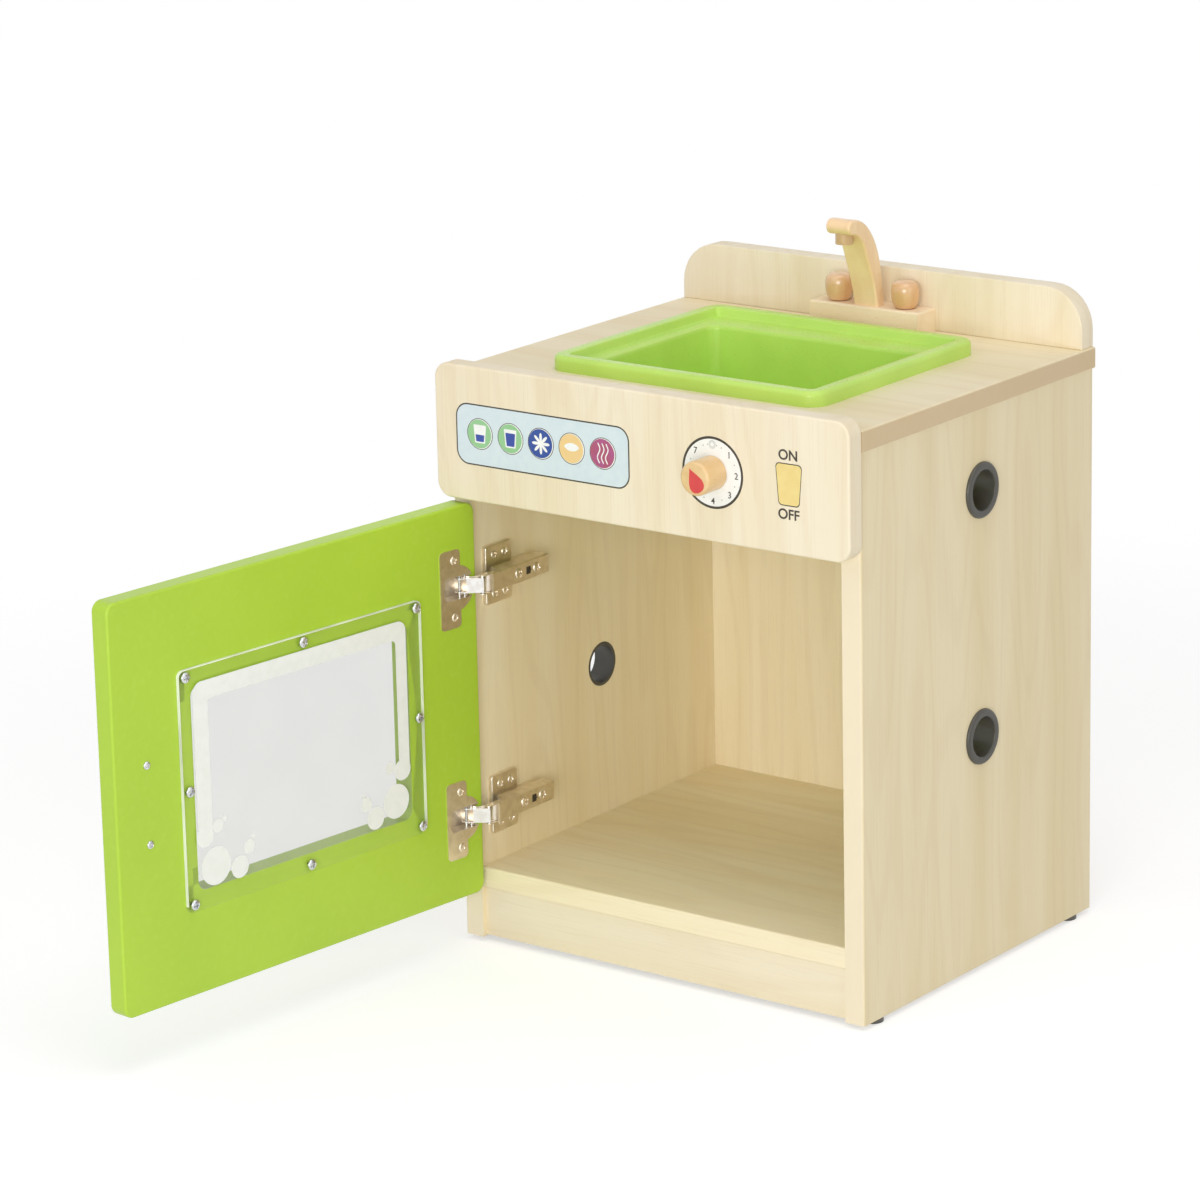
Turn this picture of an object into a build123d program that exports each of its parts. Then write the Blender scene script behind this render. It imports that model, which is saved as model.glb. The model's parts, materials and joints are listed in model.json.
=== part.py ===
from build123d import *
import os
from math import cos, radians, sin

# Wooden play kitchen: a sink unit with a dishwasher cupboard under it, its door standing open.
# Millimetres. +X is to the right, +Y to the back and +Z up. The origin is on the floor, midway
# between the four floor glides.

os.makedirs("parts", exist_ok=True)

# Carcass
board = 18.0
unit_width = 400.0
unit_depth = 342.0
worktop_height = 488.0
eased_edge = 2.0
glide_height = 4.0
glide_radius = 9.0
glide_inset = 25.0
glide_pin_radius = 1.5
glide_pin_length = 14.0

# Worktop, splash board and control panel
worktop_overhang = 2.0
panel_lip = 10.0
panel_height = 112.0
panel_corner = 13.0
splash_width = 384.0
splash_height = 50.0
splash_corner = 38.0

# Shelf, plinths, rails and back
shelf_underside = 48.0
plinth_lift = 1.0
plinth_setback = 5.0
rail_height = 60.0
back_thickness = 3.0
back_inset = 4.0
groove_depth = 6.0
groove_clearance = 0.2
back_side_clearance = 0.5

# Dowels and cam fasteners
dowel_radius = 4.0
dowel_length = 30.0
dowel_rise = 12.0
top_dowel_inset = 60.0
splash_dowel_step = 140.0
glue_gap = 0.05
cam_radius = 7.5
cam_depth = 12.5
cam_cap = 2.5
cam_slot = 1.6
cam_slot_depth = 1.5
cam_setback = 34.0
bolt_radius = 3.0
bolt_collar = 3.5
bolt_neck = 2.0
bolt_head = 2.8
bolt_bite = 11.0
end_inset = 24.0
fastener_step = 36.0

# Screws
screw_head_radius = 3.4
screw_head_height = 1.8
screw_shank_radius = 1.6
screw_bite = 11.0
screw_hole_clearance = 0.2

# Cable grommets
grommet_flange = 23.0
grommet_sleeve = 19.0
grommet_bore = 16.5
grommet_lip = 3.0
grommet_dome = 2.4
grommet_bore_round = 1.4
grommet_back = 172.0
grommet_low = 199.0
grommet_drop = 84.0
grommet_clearance = 0.2

# Sink tub
sink_offset = 4.5
sink_front = 38.0
sink_width = 262.0
sink_length = 218.0
sink_corner = 20.0
rim_height = 12.5
rim_reach = 13.0
rim_round = 4.0
tub_wall = 2.4
tub_depth = 82.0
tub_taper = 6.0
tub_corner = 14.0
tub_floor_round = 8.0
ledge_width = 4.0
ledge_drop = 6.0
cutout_clearance = 3.0

# Tap
tap_block_width = 108.0
tap_block_depth = 27.5
tap_block_height = 20.0
tap_spacing = 66.0
tap_knob_radius = 11.75
tap_knob_foot = 8.5
tap_knob_crown = 5.0
tap_knob_height = 22.4
tap_knob_gap = 0.6
tap_dowel_radius = 4.0
tap_dowel_grip = 12.0
tap_dowel_reach = 14.0
hole_bottom_gap = 0.5
running_clearance = 0.06
tap_screw_spread = 30.0
tap_screw_bite = 10.0
spout_width = 24.0
spout_setback = 0.8
spout_dowel_radius = 3.0
spout_dowel_half = 12.0
spout_reach = 41.5
nozzle_radius = 7.5
nozzle_bore = 5.0
nozzle_level = 58.0
nozzle_height = 10.0

# Side outline of the spout, measured forward and up from the back of its foot
spout_foot = 11.0
spout_back = [(0, 0), (2.6, 20), (6.4, 40), (13.6, 57.5), (24, 70.5), (36, 77.6)]
spout_nose = [(44.5, 79), (51.6, 73), (46.5, 66.5)]
spout_round = 2.0
spout_front = [(38.5, 64.2), (32, 58.5), (25, 44), (17.8, 26), (12.9, 10)]

# Timer knob
timer_offset = 74.0
timer_radius = 14.0
timer_length = 28.5
timer_round = 2.0
timer_gap = 0.5
timer_dowel_radius = 4.0
timer_dowel_grip = 16.0
timer_tail = 7.0
retainer_radius = 9.0
retainer_thickness = 1.2
retainer_gap = 0.4
timer_way_radius = 14.0
panel_screw_spots = [-120.0, -30.0, 30.0, 120.0]

# Door, and the place of its hinged edge as it stands open
door_width = 398.0
door_gap = 4.0
door_corner = 9.0
door_angle = 96.0
door_edge_standoff = 7.33
door_edge_setback = -5.49
window_width = 236.0
window_height = 166.0
window_corner = 8.0
window_inset = 81.0
pane_lap = 14.0
pane_corner = 6.0
pane_thickness = 2.5
pane_screw_inset = 6.0
pane_screw_bite = 9.0
pull_inset = 33.0
pull_spacing = 64.0
pull_length = 92.0
pull_width = 16.0
pull_projection = 27.0
pull_bar = 11.0
pull_foot = 22.0
pull_round = 5.0
pull_screw_bite = 12.0

# Concealed hinges. Stand-offs are from the side panel's inner face, setbacks from its front edge,
# and the door's pivots are measured from its hinged edge and down from its inner face.
hinge_inset = 68.5
rear_pivot_standoff = 17.0
rear_pivot_setback = 5.18
front_pivot_standoff = 16.0
front_pivot_setback = -8.0
cup_rear_pivot = 10.67
cup_rear_pivot_depth = 2.97
cup_front_pivot = 14.08
cup_front_pivot_depth = 5.41
cup_centre = 22.5
cup_radius = 17.5
cup_depth = 12.6
cup_wall = 1.0
cup_rim_radius = 19.0
cup_notch_half = 8.7
mouth_half = 9.6
cup_notch_depth = 0.9
flange_near = 19.0
flange_far = 42.0
flange_height = 66.0
flange_corner = 4.0
flange_thickness = 0.8
cup_screw_inset = 26.0
cup_screw_spacing = 48.0
pivot_radius = 1.1
open_pivot_play = 1.8
eye_wall = 0.85
hinge_sheet = 0.8
side_play = 0.2
front_link_half = 6.1
front_link_web_offset = 1.9
front_link_web_end = 6.0
link_web_thickness = 1.0
rear_link_web_start = 0.5
rear_link_web_end = 7.0
rear_link_web_offset = 2.1
arm_face = 20.2
arm_depth = 12.5
arm_length = 75.0
arm_shoulder = 14.0
arm_round = 1.0
arm_nose = 2.4
arm_set_screw = 35.0
arm_slot = 49.0
arm_slot_length = 6.0
arm_slot_width = 4.0
arm_fix_screw = 59.0
arm_screw_head = 4.2
arm_screw_head_height = 2.0
arm_screw_radius = 2.0
arm_screw_reach = 5.0
plate_near = 12.0
plate_far = 46.0
plate_height = 50.0
plate_rise = 4.0
plate_sheet = 1.2
plate_corner = 3.0
plate_screw_near = 23.0
plate_screw_far = 37.0
plate_screw_spacing = 33.0
saddle_near = 20.0
saddle_far = 68.0
saddle_half = 6.8
saddle_gap = 0.4

# Link side plates as outlines along the line between pivots and out from it. Those marked near
# start at the carcass pivot, and those marked far count back from the door pivot.
rear_link_sole_near = [(0, -1.4), (3, 0.2), (12.5, 1.4)]
rear_link_sole_far = [(6.3, 2.6), (4.3, 2.3), (2.5, -0.4), (1.2, -1.4), (0, 1.0)]
rear_link_back_far = [(2.5, 2.0), (3.5, 2.5), (5.3, 4.0)]
rear_link_back_near = [(12.5, 3.3), (3.5, 2.9), (-0.6, 1.9)]
front_link_sole_far = [(4.5, -0.3), (2.0, -3.0), (0, 3.7), (5.0, 2.9)]
front_link_back_near = [(-1.2, 2.9), (-2.0, 0), (0, -1.9)]

# Front of the hinge arm's cheeks, as stand-off and setback
arm_cheek_front = [(13.2, 3.0), (13.7, -8.6), (18.3, -8.6), (19.2, -1.5), (20.2, 1.2)]

# Places that follow from the sizes above
front = -unit_depth / 2
rear = unit_depth / 2
inner = unit_width / 2 - board
side_top = worktop_height - board
back_face = rear - back_inset - back_thickness
back_middle = back_face + back_thickness / 2
panel_centre = worktop_height + panel_lip - panel_height / 2
rail_centre = side_top - rail_height / 2
rail_inner_face = front + board
plinth_foot = glide_height + plinth_lift
plinth_centre = (plinth_foot + shelf_underside) / 2
sink_centre = front + sink_front + sink_length / 2
opening_width = sink_width - 2 * rim_reach
opening_length = sink_length - 2 * rim_reach
rim_top = worktop_height + rim_height
ledge_level = rim_top - ledge_drop
splash_face = rear - board
tap_centre = splash_face - tap_block_depth / 2
tap_top = worktop_height + tap_block_height
spout_rear = tap_centre + spout_setback
timer_face = front - board - timer_gap
grommet_high = worktop_height - grommet_drop
door_height = panel_centre - panel_height / 2 - door_gap - shelf_underside
door_level = shelf_underside + door_height / 2
window_centre = window_inset + window_width / 2
pull_along = door_width - pull_inset
hinge_offset = door_height / 2 - hinge_inset
hinge_levels = {"upper": door_level + hinge_offset, "lower": door_level - hinge_offset}
rear_link_inner = front_link_half + side_play
rear_link_half = rear_link_inner + hinge_sheet
arm_gap = rear_link_half + side_play
arm_half = arm_gap + hinge_sheet
pivot_bore = pivot_radius + running_clearance
eye_radius = pivot_radius + eye_wall
loose_eye_bore = pivot_radius + open_pivot_play
saddle_top = arm_face - hinge_sheet - saddle_gap

# Planes: the inner face of the open door and the inner face of the left panel, both facing into
# the wood, with their local Y up. On the door, local X runs away from the hinged edge.
door_along = Vector(cos(radians(-door_angle)), sin(radians(-door_angle)), 0)
door_into = Vector(sin(radians(-door_angle)), -cos(radians(-door_angle)), 0)
door_edge = Vector(-inner + door_edge_standoff, front + door_edge_setback, 0)
door_face = Plane(origin=door_edge, x_dir=door_along, z_dir=door_into)
hinge_wall = Plane(origin=(-inner, 0, 0), x_dir=(0, -1, 0), z_dir=(-1, 0, 0))


def save(piece, name):
    piece.part.label = name
    export_step(piece.part, f"parts/{name}.step")


def door_point(along, depth):
    """Plan position of a point of the open door."""
    spot = door_edge + door_along * along + door_into * depth
    return (spot.X, spot.Y)


def side_point(standoff, setback):
    """Plan position of a point beside the left panel's inner face."""
    return (-inner + standoff, front + setback)


rear_pivot = side_point(rear_pivot_standoff, rear_pivot_setback)
front_pivot = side_point(front_pivot_standoff, front_pivot_setback)
cup_rear = door_point(cup_rear_pivot, cup_rear_pivot_depth)
cup_front = door_point(cup_front_pivot, cup_front_pivot_depth)

# Fastener places, as depth position and level, on the side panels' inner faces
dowel_places = [
    (front + end_inset, shelf_underside + board / 2),
    (back_face - end_inset, shelf_underside + board / 2),
    (front + plinth_setback + board / 2, plinth_centre),
    (back_face - board / 2, plinth_centre),
    (front + board / 2, rail_centre + rail_height / 4),
    (back_face - board / 2, rail_centre + rail_height / 4),
]
shelf_cam_places = [
    (front + end_inset + fastener_step, shelf_underside + board / 2),
    (back_face - end_inset - fastener_step, shelf_underside + board / 2),
]
front_cam_place = (front + board / 2, rail_centre - rail_height / 6)
rear_cam_place = (back_face - board / 2, rail_centre - rail_height / 6)
bolt_places = shelf_cam_places + [front_cam_place, rear_cam_place]
splash_dowels = [(step * splash_dowel_step, rear - board / 2) for step in (-1, 0, 1)]
tap_screw_spots = [(sink_offset + side * tap_screw_spread / 2, tap_centre) for side in (-1, 1)]
panel_screw_places = [(spot, rail_centre) for spot in panel_screw_spots]
pull_screw_places = [(pull_along, door_level + side * pull_spacing / 2) for side in (-1, 1)]
tap_places = {
    "left": (sink_offset - tap_spacing / 2, tap_centre),
    "right": (sink_offset + tap_spacing / 2, tap_centre),
}

# Window screws go round the pane's margin: its corners and the middle of each side
pane_half_width = window_width / 2 + pane_lap - pane_screw_inset
pane_half_height = window_height / 2 + pane_lap - pane_screw_inset
window_screw_places = [
    (window_centre + across * pane_half_width, door_level + up * pane_half_height)
    for across in (-1, 0, 1)
    for up in (-1, 0, 1)
    if across or up
]
cup_screw_places = [
    (cup_screw_inset, level + side * cup_screw_spacing / 2)
    for level in hinge_levels.values()
    for side in (-1, 1)
]
plate_screw_places = [
    (-front - setback, level + side * plate_screw_spacing / 2)
    for level in hinge_levels.values()
    for side in (-1, 1)
    for setback in (plate_screw_near, plate_screw_far)
]
arm_screw_places = [
    (-front - setback, level) for level in hinge_levels.values() for setback in (arm_set_screw, arm_fix_screw)
]


def drill(face, places, radius, depth):
    """Drill the part being built at places on a plane, the way the plane looks for a plus depth."""
    with BuildSketch(face) as holes:
        with Locations(*places):
            Circle(radius)
    extrude(holes.sketch, amount=depth, mode=Mode.SUBTRACT)


def rod(face, places, radius, length):
    """Add round rods to the part being built, standing on a plane."""
    with BuildSketch(face) as ends:
        with Locations(*places):
            Circle(radius)
    extrude(ends.sketch, amount=length)


def screws(face, places, seat, bite):
    """Add screws: their heads sit at seat along the plane's axis and their points reach bite."""
    rod(face.offset(seat), places, screw_head_radius, -screw_head_height)
    rod(face.offset(seat), places, screw_shank_radius, bite - seat)


def bore_ends(places, radius, depth):
    """Drill both ends of the member being built, which spans the side panels."""
    for side in (-1, 1):
        drill(Plane.YZ.offset(side * inner), places, radius, -side * depth)


# Side panels
def side_panel(side):
    middle = side * (inner + board / 2)
    with BuildPart() as panel:
        with BuildSketch(Plane.XY.offset(glide_height)):
            with Locations((middle, 0)):
                Rectangle(board, unit_depth)
        extrude(amount=side_top - glide_height)
        outer_face = panel.faces().filter_by(Axis.X).sort_by(Axis.X)[-1 if side > 0 else 0]
        fillet(outer_face.edges().filter_by(Axis.Z), radius=eased_edge)
        with BuildSketch(Plane.XY.offset(shelf_underside)):
            with Locations((side * (inner + groove_depth / 2), back_middle)):
                Rectangle(groove_depth, back_thickness + 2 * groove_clearance)
        extrude(amount=side_top - shelf_underside, mode=Mode.SUBTRACT)
        face = Plane.YZ.offset(side * inner)
        grommet_places = [(front + grommet_back, grommet_low), (front + grommet_back, grommet_high)]
        drill(face, grommet_places, grommet_sleeve + grommet_clearance, side * board)
        drill(face, dowel_places, dowel_radius + glue_gap, side * dowel_length / 2)
        drill(face, bolt_places, bolt_radius + glue_gap, side * bolt_bite)
        glide_places = [(middle, end * (rear - glide_inset)) for end in (-1, 1)]
        drill(Plane.XY.offset(glide_height), glide_places, glide_pin_radius + glue_gap, glide_pin_length)
        top_places = [(middle, end * (rear - top_dowel_inset)) for end in (-1, 1)]
        drill(Plane.XY.offset(side_top), top_places, dowel_radius + glue_gap, dowel_rise - dowel_length)
        if side < 0:
            drill(hinge_wall, plate_screw_places, screw_shank_radius + glue_gap, screw_bite)
    return panel


save(side_panel(-1), "left_side_panel")
save(side_panel(1), "right_side_panel")

# Bottom shelf, with cam pockets in its underside
shelf_cam_spots = [(side * (inner - cam_setback), place[0]) for side in (-1, 1) for place in shelf_cam_places]
with BuildPart() as bottom_shelf:
    with BuildSketch(Plane.XY.offset(shelf_underside)):
        with Locations((0, (front + back_face) / 2)):
            Rectangle(2 * inner, back_face - front)
    extrude(amount=board)
    fillet(bottom_shelf.edges().group_by(Axis.Y)[0].filter_by(Axis.X), radius=eased_edge)
    bore_ends(dowel_places[:2], dowel_radius + glue_gap, dowel_length / 2)
    bore_ends(shelf_cam_places, bolt_collar + glue_gap, cam_setback)
    drill(Plane.XY.offset(shelf_underside), shelf_cam_spots, cam_radius + glue_gap, cam_depth)
save(bottom_shelf, "bottom_shelf")


# Kick board in front and a matching plinth at the back, both under the shelf
def plinth(place):
    with BuildPart() as strip:
        with BuildSketch(Plane.XY.offset(plinth_foot)):
            with Locations((0, place[0])):
                Rectangle(2 * inner, board)
        extrude(amount=shelf_underside - plinth_foot)
        bore_ends([place], dowel_radius + glue_gap, dowel_length / 2)
    return strip


save(plinth(dowel_places[2]), "kick_board")
save(plinth(dowel_places[3]), "rear_plinth")

# Top rails under the worktop. The front one carries the control panel and lets the timer through.
rail_cam_spots = [(side * (inner - cam_setback), front_cam_place[1]) for side in (-1, 1)]
with BuildPart() as front_top_rail:
    with BuildSketch(Plane.XY.offset(side_top - rail_height)):
        with Locations((0, front + board / 2)):
            Rectangle(2 * inner, board)
    extrude(amount=rail_height)
    bore_ends([dowel_places[4]], dowel_radius + glue_gap, dowel_length / 2)
    bore_ends([front_cam_place], bolt_collar + glue_gap, cam_setback)
    drill(Plane.XZ.offset(-rail_inner_face), rail_cam_spots, cam_radius + glue_gap, cam_depth)
    drill(Plane.XZ.offset(-rail_inner_face), [(timer_offset, panel_centre)], timer_way_radius, board)
    drill(Plane.XZ.offset(-rail_inner_face), panel_screw_places, screw_shank_radius + screw_hole_clearance, board)
save(front_top_rail, "front_top_rail")

with BuildPart() as rear_top_rail:
    with BuildSketch(Plane.XY.offset(side_top - rail_height)):
        with Locations((0, back_face - board / 2)):
            Rectangle(2 * inner, board)
    extrude(amount=rail_height)
    bore_ends([dowel_places[5]], dowel_radius + glue_gap, dowel_length / 2)
    bore_ends([rear_cam_place], bolt_collar + glue_gap, cam_setback)
    drill(Plane.XZ.offset(board - back_face), rail_cam_spots, cam_radius + glue_gap, -cam_depth)
save(rear_top_rail, "rear_top_rail")

# Back panel, held in the grooves of the side panels
with BuildPart() as back_panel:
    with BuildSketch(Plane.XY.offset(shelf_underside)):
        with Locations((0, back_middle)):
            Rectangle(2 * (inner + groove_depth - back_side_clearance), back_thickness)
    extrude(amount=side_top - shelf_underside)
save(back_panel, "back_panel")

# Wood dowels that line up the boards
with BuildPart() as dowels:
    for side in (-1, 1):
        rod(Plane.YZ.offset(side * (inner - dowel_length / 2)), dowel_places, dowel_radius, side * dowel_length)
        top_places = [(side * (inner + board / 2), end * (rear - top_dowel_inset)) for end in (-1, 1)]
        rod(Plane.XY.offset(side_top + dowel_rise), top_places, dowel_radius, -dowel_length)
    rod(Plane.XY.offset(worktop_height - dowel_rise), splash_dowels, dowel_radius, dowel_length)
save(dowels, "dowels")

# Cam bolts: a threaded shank in the side panel, a collar and neck in the member, a head in the cam
collar_length = cam_setback - cam_radius
with BuildPart() as cam_bolts:
    for side in (-1, 1):
        face = Plane.YZ.offset(side * inner)
        rod(face, bolt_places, bolt_radius, side * bolt_bite)
        rod(face, bolt_places, bolt_collar, -side * collar_length)
        rod(face.offset(-side * collar_length), bolt_places, bolt_neck, -side * cam_radius / 2)
        rod(face.offset(-side * (collar_length + cam_radius / 2)), bolt_places, bolt_head, -side * bolt_head)
save(cam_bolts, "cam_bolts")


# Cam locks: a disc let in flush, hollow for the bolt's head, with a crossed driver slot
def cam_lock_row(face, places, way):
    """way is the sign of the direction into the wood along the plane's axis."""
    rod(face, places, cam_radius, way * cam_depth)
    with BuildSketch(face.offset(way * cam_depth)) as hollow:
        with Locations(*places):
            Rectangle(2 * cam_radius + 1, 2 * (bolt_collar + glue_gap))
    extrude(hollow.sketch, amount=-way * (cam_depth - cam_cap), mode=Mode.SUBTRACT)
    with BuildSketch(face) as slots:
        with Locations(*places):
            Rectangle(cam_radius, cam_slot)
            Rectangle(cam_slot, cam_radius)
    extrude(slots.sketch, amount=way * cam_slot_depth, mode=Mode.SUBTRACT)


with BuildPart() as cam_locks:
    cam_lock_row(Plane.XY.offset(shelf_underside), shelf_cam_spots, 1)
    cam_lock_row(Plane.XZ.offset(-rail_inner_face), rail_cam_spots, 1)
    cam_lock_row(Plane.XZ.offset(board - back_face), rail_cam_spots, -1)
save(cam_locks, "cam_locks")

# Floor glides: a plastic foot with a pin up into the side panel
glide_spots = [
    (side * (inner + board / 2), end * (rear - glide_inset)) for side in (-1, 1) for end in (-1, 1)
]
with BuildPart() as floor_glides:
    rod(Plane.XY, glide_spots, glide_radius, glide_height)
    rod(Plane.XY.offset(glide_height), glide_spots, glide_pin_radius, glide_pin_length - hole_bottom_gap)
save(floor_glides, "floor_glides")


# Cable grommets: a domed flange outside the panel and a sleeve through it
def grommet(side, level):
    face = Plane.YZ.offset(side * (inner + board))
    centre = [(front + grommet_back, level)]
    outermost = -1 if side > 0 else 0
    with BuildPart() as ring:
        rod(face, centre, grommet_flange, side * grommet_lip)
        fillet(ring.edges().filter_by(GeomType.CIRCLE).sort_by(Axis.X)[outermost], radius=grommet_dome)
        rod(face, centre, grommet_sleeve, -side * board)
        drill(Plane.YZ.offset(side * inner), centre, grommet_bore, side * (board + grommet_lip))
        rims = ring.edges().filter_by(GeomType.CIRCLE).group_by(Axis.X)[outermost]
        fillet(rims.sort_by(SortBy.RADIUS)[0], radius=grommet_bore_round)
    return ring


for side_name, side in (("left", -1), ("right", 1)):
    for level_name, level in (("lower", grommet_low), ("upper", grommet_high)):
        save(grommet(side, level), f"{side_name}_{level_name}_grommet")

# Worktop, with the cut-out for the sink tub
tub_width = opening_width - 2 * ledge_width + 2 * tub_wall
tub_length = opening_length - 2 * ledge_width + 2 * tub_wall
with BuildPart() as worktop:
    with BuildSketch(Plane.XY.offset(side_top)):
        Rectangle(unit_width + 2 * worktop_overhang, unit_depth)
    extrude(amount=board)
    side_faces = worktop.faces().filter_by(Axis.X)
    fillet(side_faces.edges().filter_by(Axis.Y), radius=eased_edge)
    with BuildSketch(Plane.XY.offset(side_top)):
        with Locations((sink_offset, sink_centre)):
            RectangleRounded(
                tub_width + 2 * cutout_clearance, tub_length + 2 * cutout_clearance, tub_corner + cutout_clearance
            )
    extrude(amount=board, mode=Mode.SUBTRACT)
    for side in (-1, 1):
        top_places = [(side * (inner + board / 2), end * (rear - top_dowel_inset)) for end in (-1, 1)]
        drill(Plane.XY.offset(side_top), top_places, dowel_radius + glue_gap, dowel_rise)
    drill(Plane.XY.offset(worktop_height), splash_dowels, dowel_radius + glue_gap, -dowel_rise)
    drill(Plane.XY.offset(side_top), tap_screw_spots, screw_shank_radius + screw_hole_clearance, board)
save(worktop, "worktop")

# Splash board at the back of the worktop
with BuildPart() as backsplash:
    with BuildSketch(Plane.XZ.offset(-splash_face)) as splash_outline:
        with Locations((0, worktop_height + splash_height / 2)):
            Rectangle(splash_width, splash_height)
        fillet(splash_outline.vertices().group_by(Axis.Y)[-1], splash_corner)
    extrude(amount=-board)
    rims = backsplash.faces().filter_by(Axis.Y).edges()
    foot = rims.filter_by(Axis.X).group_by(Axis.Z)[0]
    fillet([rim for rim in rims if rim not in foot], radius=eased_edge)
    drill(Plane.XY.offset(worktop_height), splash_dowels, dowel_radius + glue_gap, dowel_length - dowel_rise)
save(backsplash, "backsplash")

# Control panel across the front
with BuildPart() as control_panel:
    with BuildSketch(Plane.XZ.offset(-front)):
        with Locations((0, panel_centre)):
            RectangleRounded(unit_width + 2 * worktop_overhang, panel_height, panel_corner)
    extrude(amount=board)
    fillet(control_panel.faces().sort_by(Axis.Y)[0].edges(), radius=eased_edge)
    fillet(control_panel.faces().sort_by(Axis.Y)[-1].edges(), radius=eased_edge)
    drill(Plane.XZ.offset(-front), [(timer_offset, panel_centre)], timer_dowel_radius + running_clearance, board)
    drill(Plane.XZ.offset(-front), panel_screw_places, screw_shank_radius + glue_gap, screw_bite)
save(control_panel, "control_panel")

with BuildPart() as control_panel_screws:
    screws(Plane.XZ.offset(-rail_inner_face), panel_screw_places, 0, board + screw_bite - hole_bottom_gap)
save(control_panel_screws, "control_panel_screws")


# Sink tub: a hollow rim that sits on the worktop, an inner ledge and a tapered tub below it
def tub_form(width, length, corner, bottom, floor_round):
    """A tapered block from the ledge down, rounded at the bottom."""
    with BuildPart() as form:
        with BuildSketch(Plane.XY.offset(bottom)):
            with Locations((sink_offset, sink_centre)):
                RectangleRounded(width - 2 * tub_taper, length - 2 * tub_taper, corner)
        with BuildSketch(Plane.XY.offset(ledge_level)):
            with Locations((sink_offset, sink_centre)):
                RectangleRounded(width, length, corner)
        loft(ruled=True)
        fillet(form.faces().sort_by(Axis.Z)[0].edges(), radius=floor_round)
    return form.part


with BuildPart() as sink_basin:
    with BuildSketch(Plane.XY.offset(worktop_height)):
        with Locations((sink_offset, sink_centre)):
            RectangleRounded(sink_width, sink_length, sink_corner)
    extrude(amount=rim_height)
    fillet(sink_basin.faces().sort_by(Axis.Z)[-1].edges(), radius=rim_round)
    with BuildSketch(Plane.XY.offset(worktop_height)):
        with Locations((sink_offset, sink_centre)):
            RectangleRounded(sink_width - 2 * tub_wall, sink_length - 2 * tub_wall, sink_corner - tub_wall)
    extrude(amount=rim_height - tub_wall, mode=Mode.SUBTRACT)
    with BuildSketch(Plane.XY.offset(ledge_level - tub_wall)):
        with Locations((sink_offset, sink_centre)):
            RectangleRounded(opening_width + 2 * tub_wall, opening_length + 2 * tub_wall, tub_corner + tub_wall)
    extrude(amount=ledge_drop)
    add(tub_form(tub_width, tub_length, tub_corner, rim_top - tub_depth, tub_floor_round + tub_wall))
    with BuildSketch(Plane.XY.offset(ledge_level)):
        with Locations((sink_offset, sink_centre)):
            RectangleRounded(opening_width, opening_length, tub_corner)
    extrude(amount=ledge_drop, mode=Mode.SUBTRACT)
    add(
        tub_form(
            tub_width - 2 * tub_wall,
            tub_length - 2 * tub_wall,
            tub_corner - tub_wall,
            rim_top - tub_depth + tub_wall,
            tub_floor_round,
        ),
        mode=Mode.SUBTRACT,
    )
save(sink_basin, "sink_basin")

# Tap block behind the sink, with holes for its two knobs, its spout and its screws
with BuildPart() as tap_block:
    with BuildSketch(Plane.XY.offset(worktop_height)):
        with Locations((sink_offset, tap_centre)):
            Rectangle(tap_block_width, tap_block_depth)
    extrude(amount=tap_block_height)
    fillet(tap_block.faces().sort_by(Axis.Z)[-1].edges(), radius=eased_edge)
    top = Plane.XY.offset(tap_top)
    knob_hole_depth = tap_dowel_reach + hole_bottom_gap
    drill(top, tap_places.values(), tap_dowel_radius + running_clearance, -knob_hole_depth)
    spout_middle = (sink_offset, spout_rear - spout_foot / 2)
    drill(top, [spout_middle], spout_dowel_radius + glue_gap, -spout_dowel_half)
    drill(Plane.XY.offset(worktop_height), tap_screw_spots, screw_shank_radius + glue_gap, tap_screw_bite)
save(tap_block, "tap_block")

with BuildPart() as tap_screws:
    screws(Plane.XY.offset(side_top), tap_screw_spots, 0, board + tap_screw_bite - hole_bottom_gap)
save(tap_screws, "tap_screws")


# Spout: a bent wooden plank, seen from the side as a hook
def spout_points(points):
    return [(spout_rear - forward, tap_top + up) for forward, up in points]


nozzle_middle = (sink_offset, spout_rear - spout_reach)
with BuildPart() as tap_spout:
    with BuildSketch(Plane.YZ.offset(sink_offset - spout_width / 2)):
        with BuildLine():
            Spline(*spout_points(spout_back), tangents=[(-0.1, 1), (-1, 0.3)])
            Spline(*spout_points([spout_back[-1], spout_nose[0]]), tangents=[(-1, 0.3), (-1, -0.1)])
            ThreePointArc(*spout_points(spout_nose))
            Spline(*spout_points([spout_nose[-1]] + spout_front + [(spout_foot, 0)]))
            Line(*spout_points([(spout_foot, 0), (0, 0)]))
        make_face()
    extrude(amount=spout_width)
    side_rims = tap_spout.faces().filter_by(Axis.X).edges()
    fillet([rim for rim in side_rims if rim.center().Z > tap_top + 1], radius=spout_round)
    drill(Plane.XY.offset(tap_top), [spout_middle], spout_dowel_radius + glue_gap, spout_dowel_half)
    drill(
        Plane.XY.offset(tap_top + nozzle_level), [nozzle_middle], nozzle_radius + glue_gap, nozzle_height
    )
save(tap_spout, "tap_spout")

with BuildPart() as spout_dowel:
    spout_dowel_foot = Plane.XY.offset(tap_top - spout_dowel_half + hole_bottom_gap)
    rod(spout_dowel_foot, [spout_middle], spout_dowel_radius, 2 * (spout_dowel_half - hole_bottom_gap))
save(spout_dowel, "spout_dowel")

with BuildPart() as spout_nozzle:
    rod(Plane.XY.offset(tap_top + nozzle_level), [nozzle_middle], nozzle_radius, nozzle_height)
    drill(Plane.XY.offset(tap_top + nozzle_level), [nozzle_middle], nozzle_bore, nozzle_height / 2)
save(spout_nozzle, "spout_nozzle")


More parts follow.
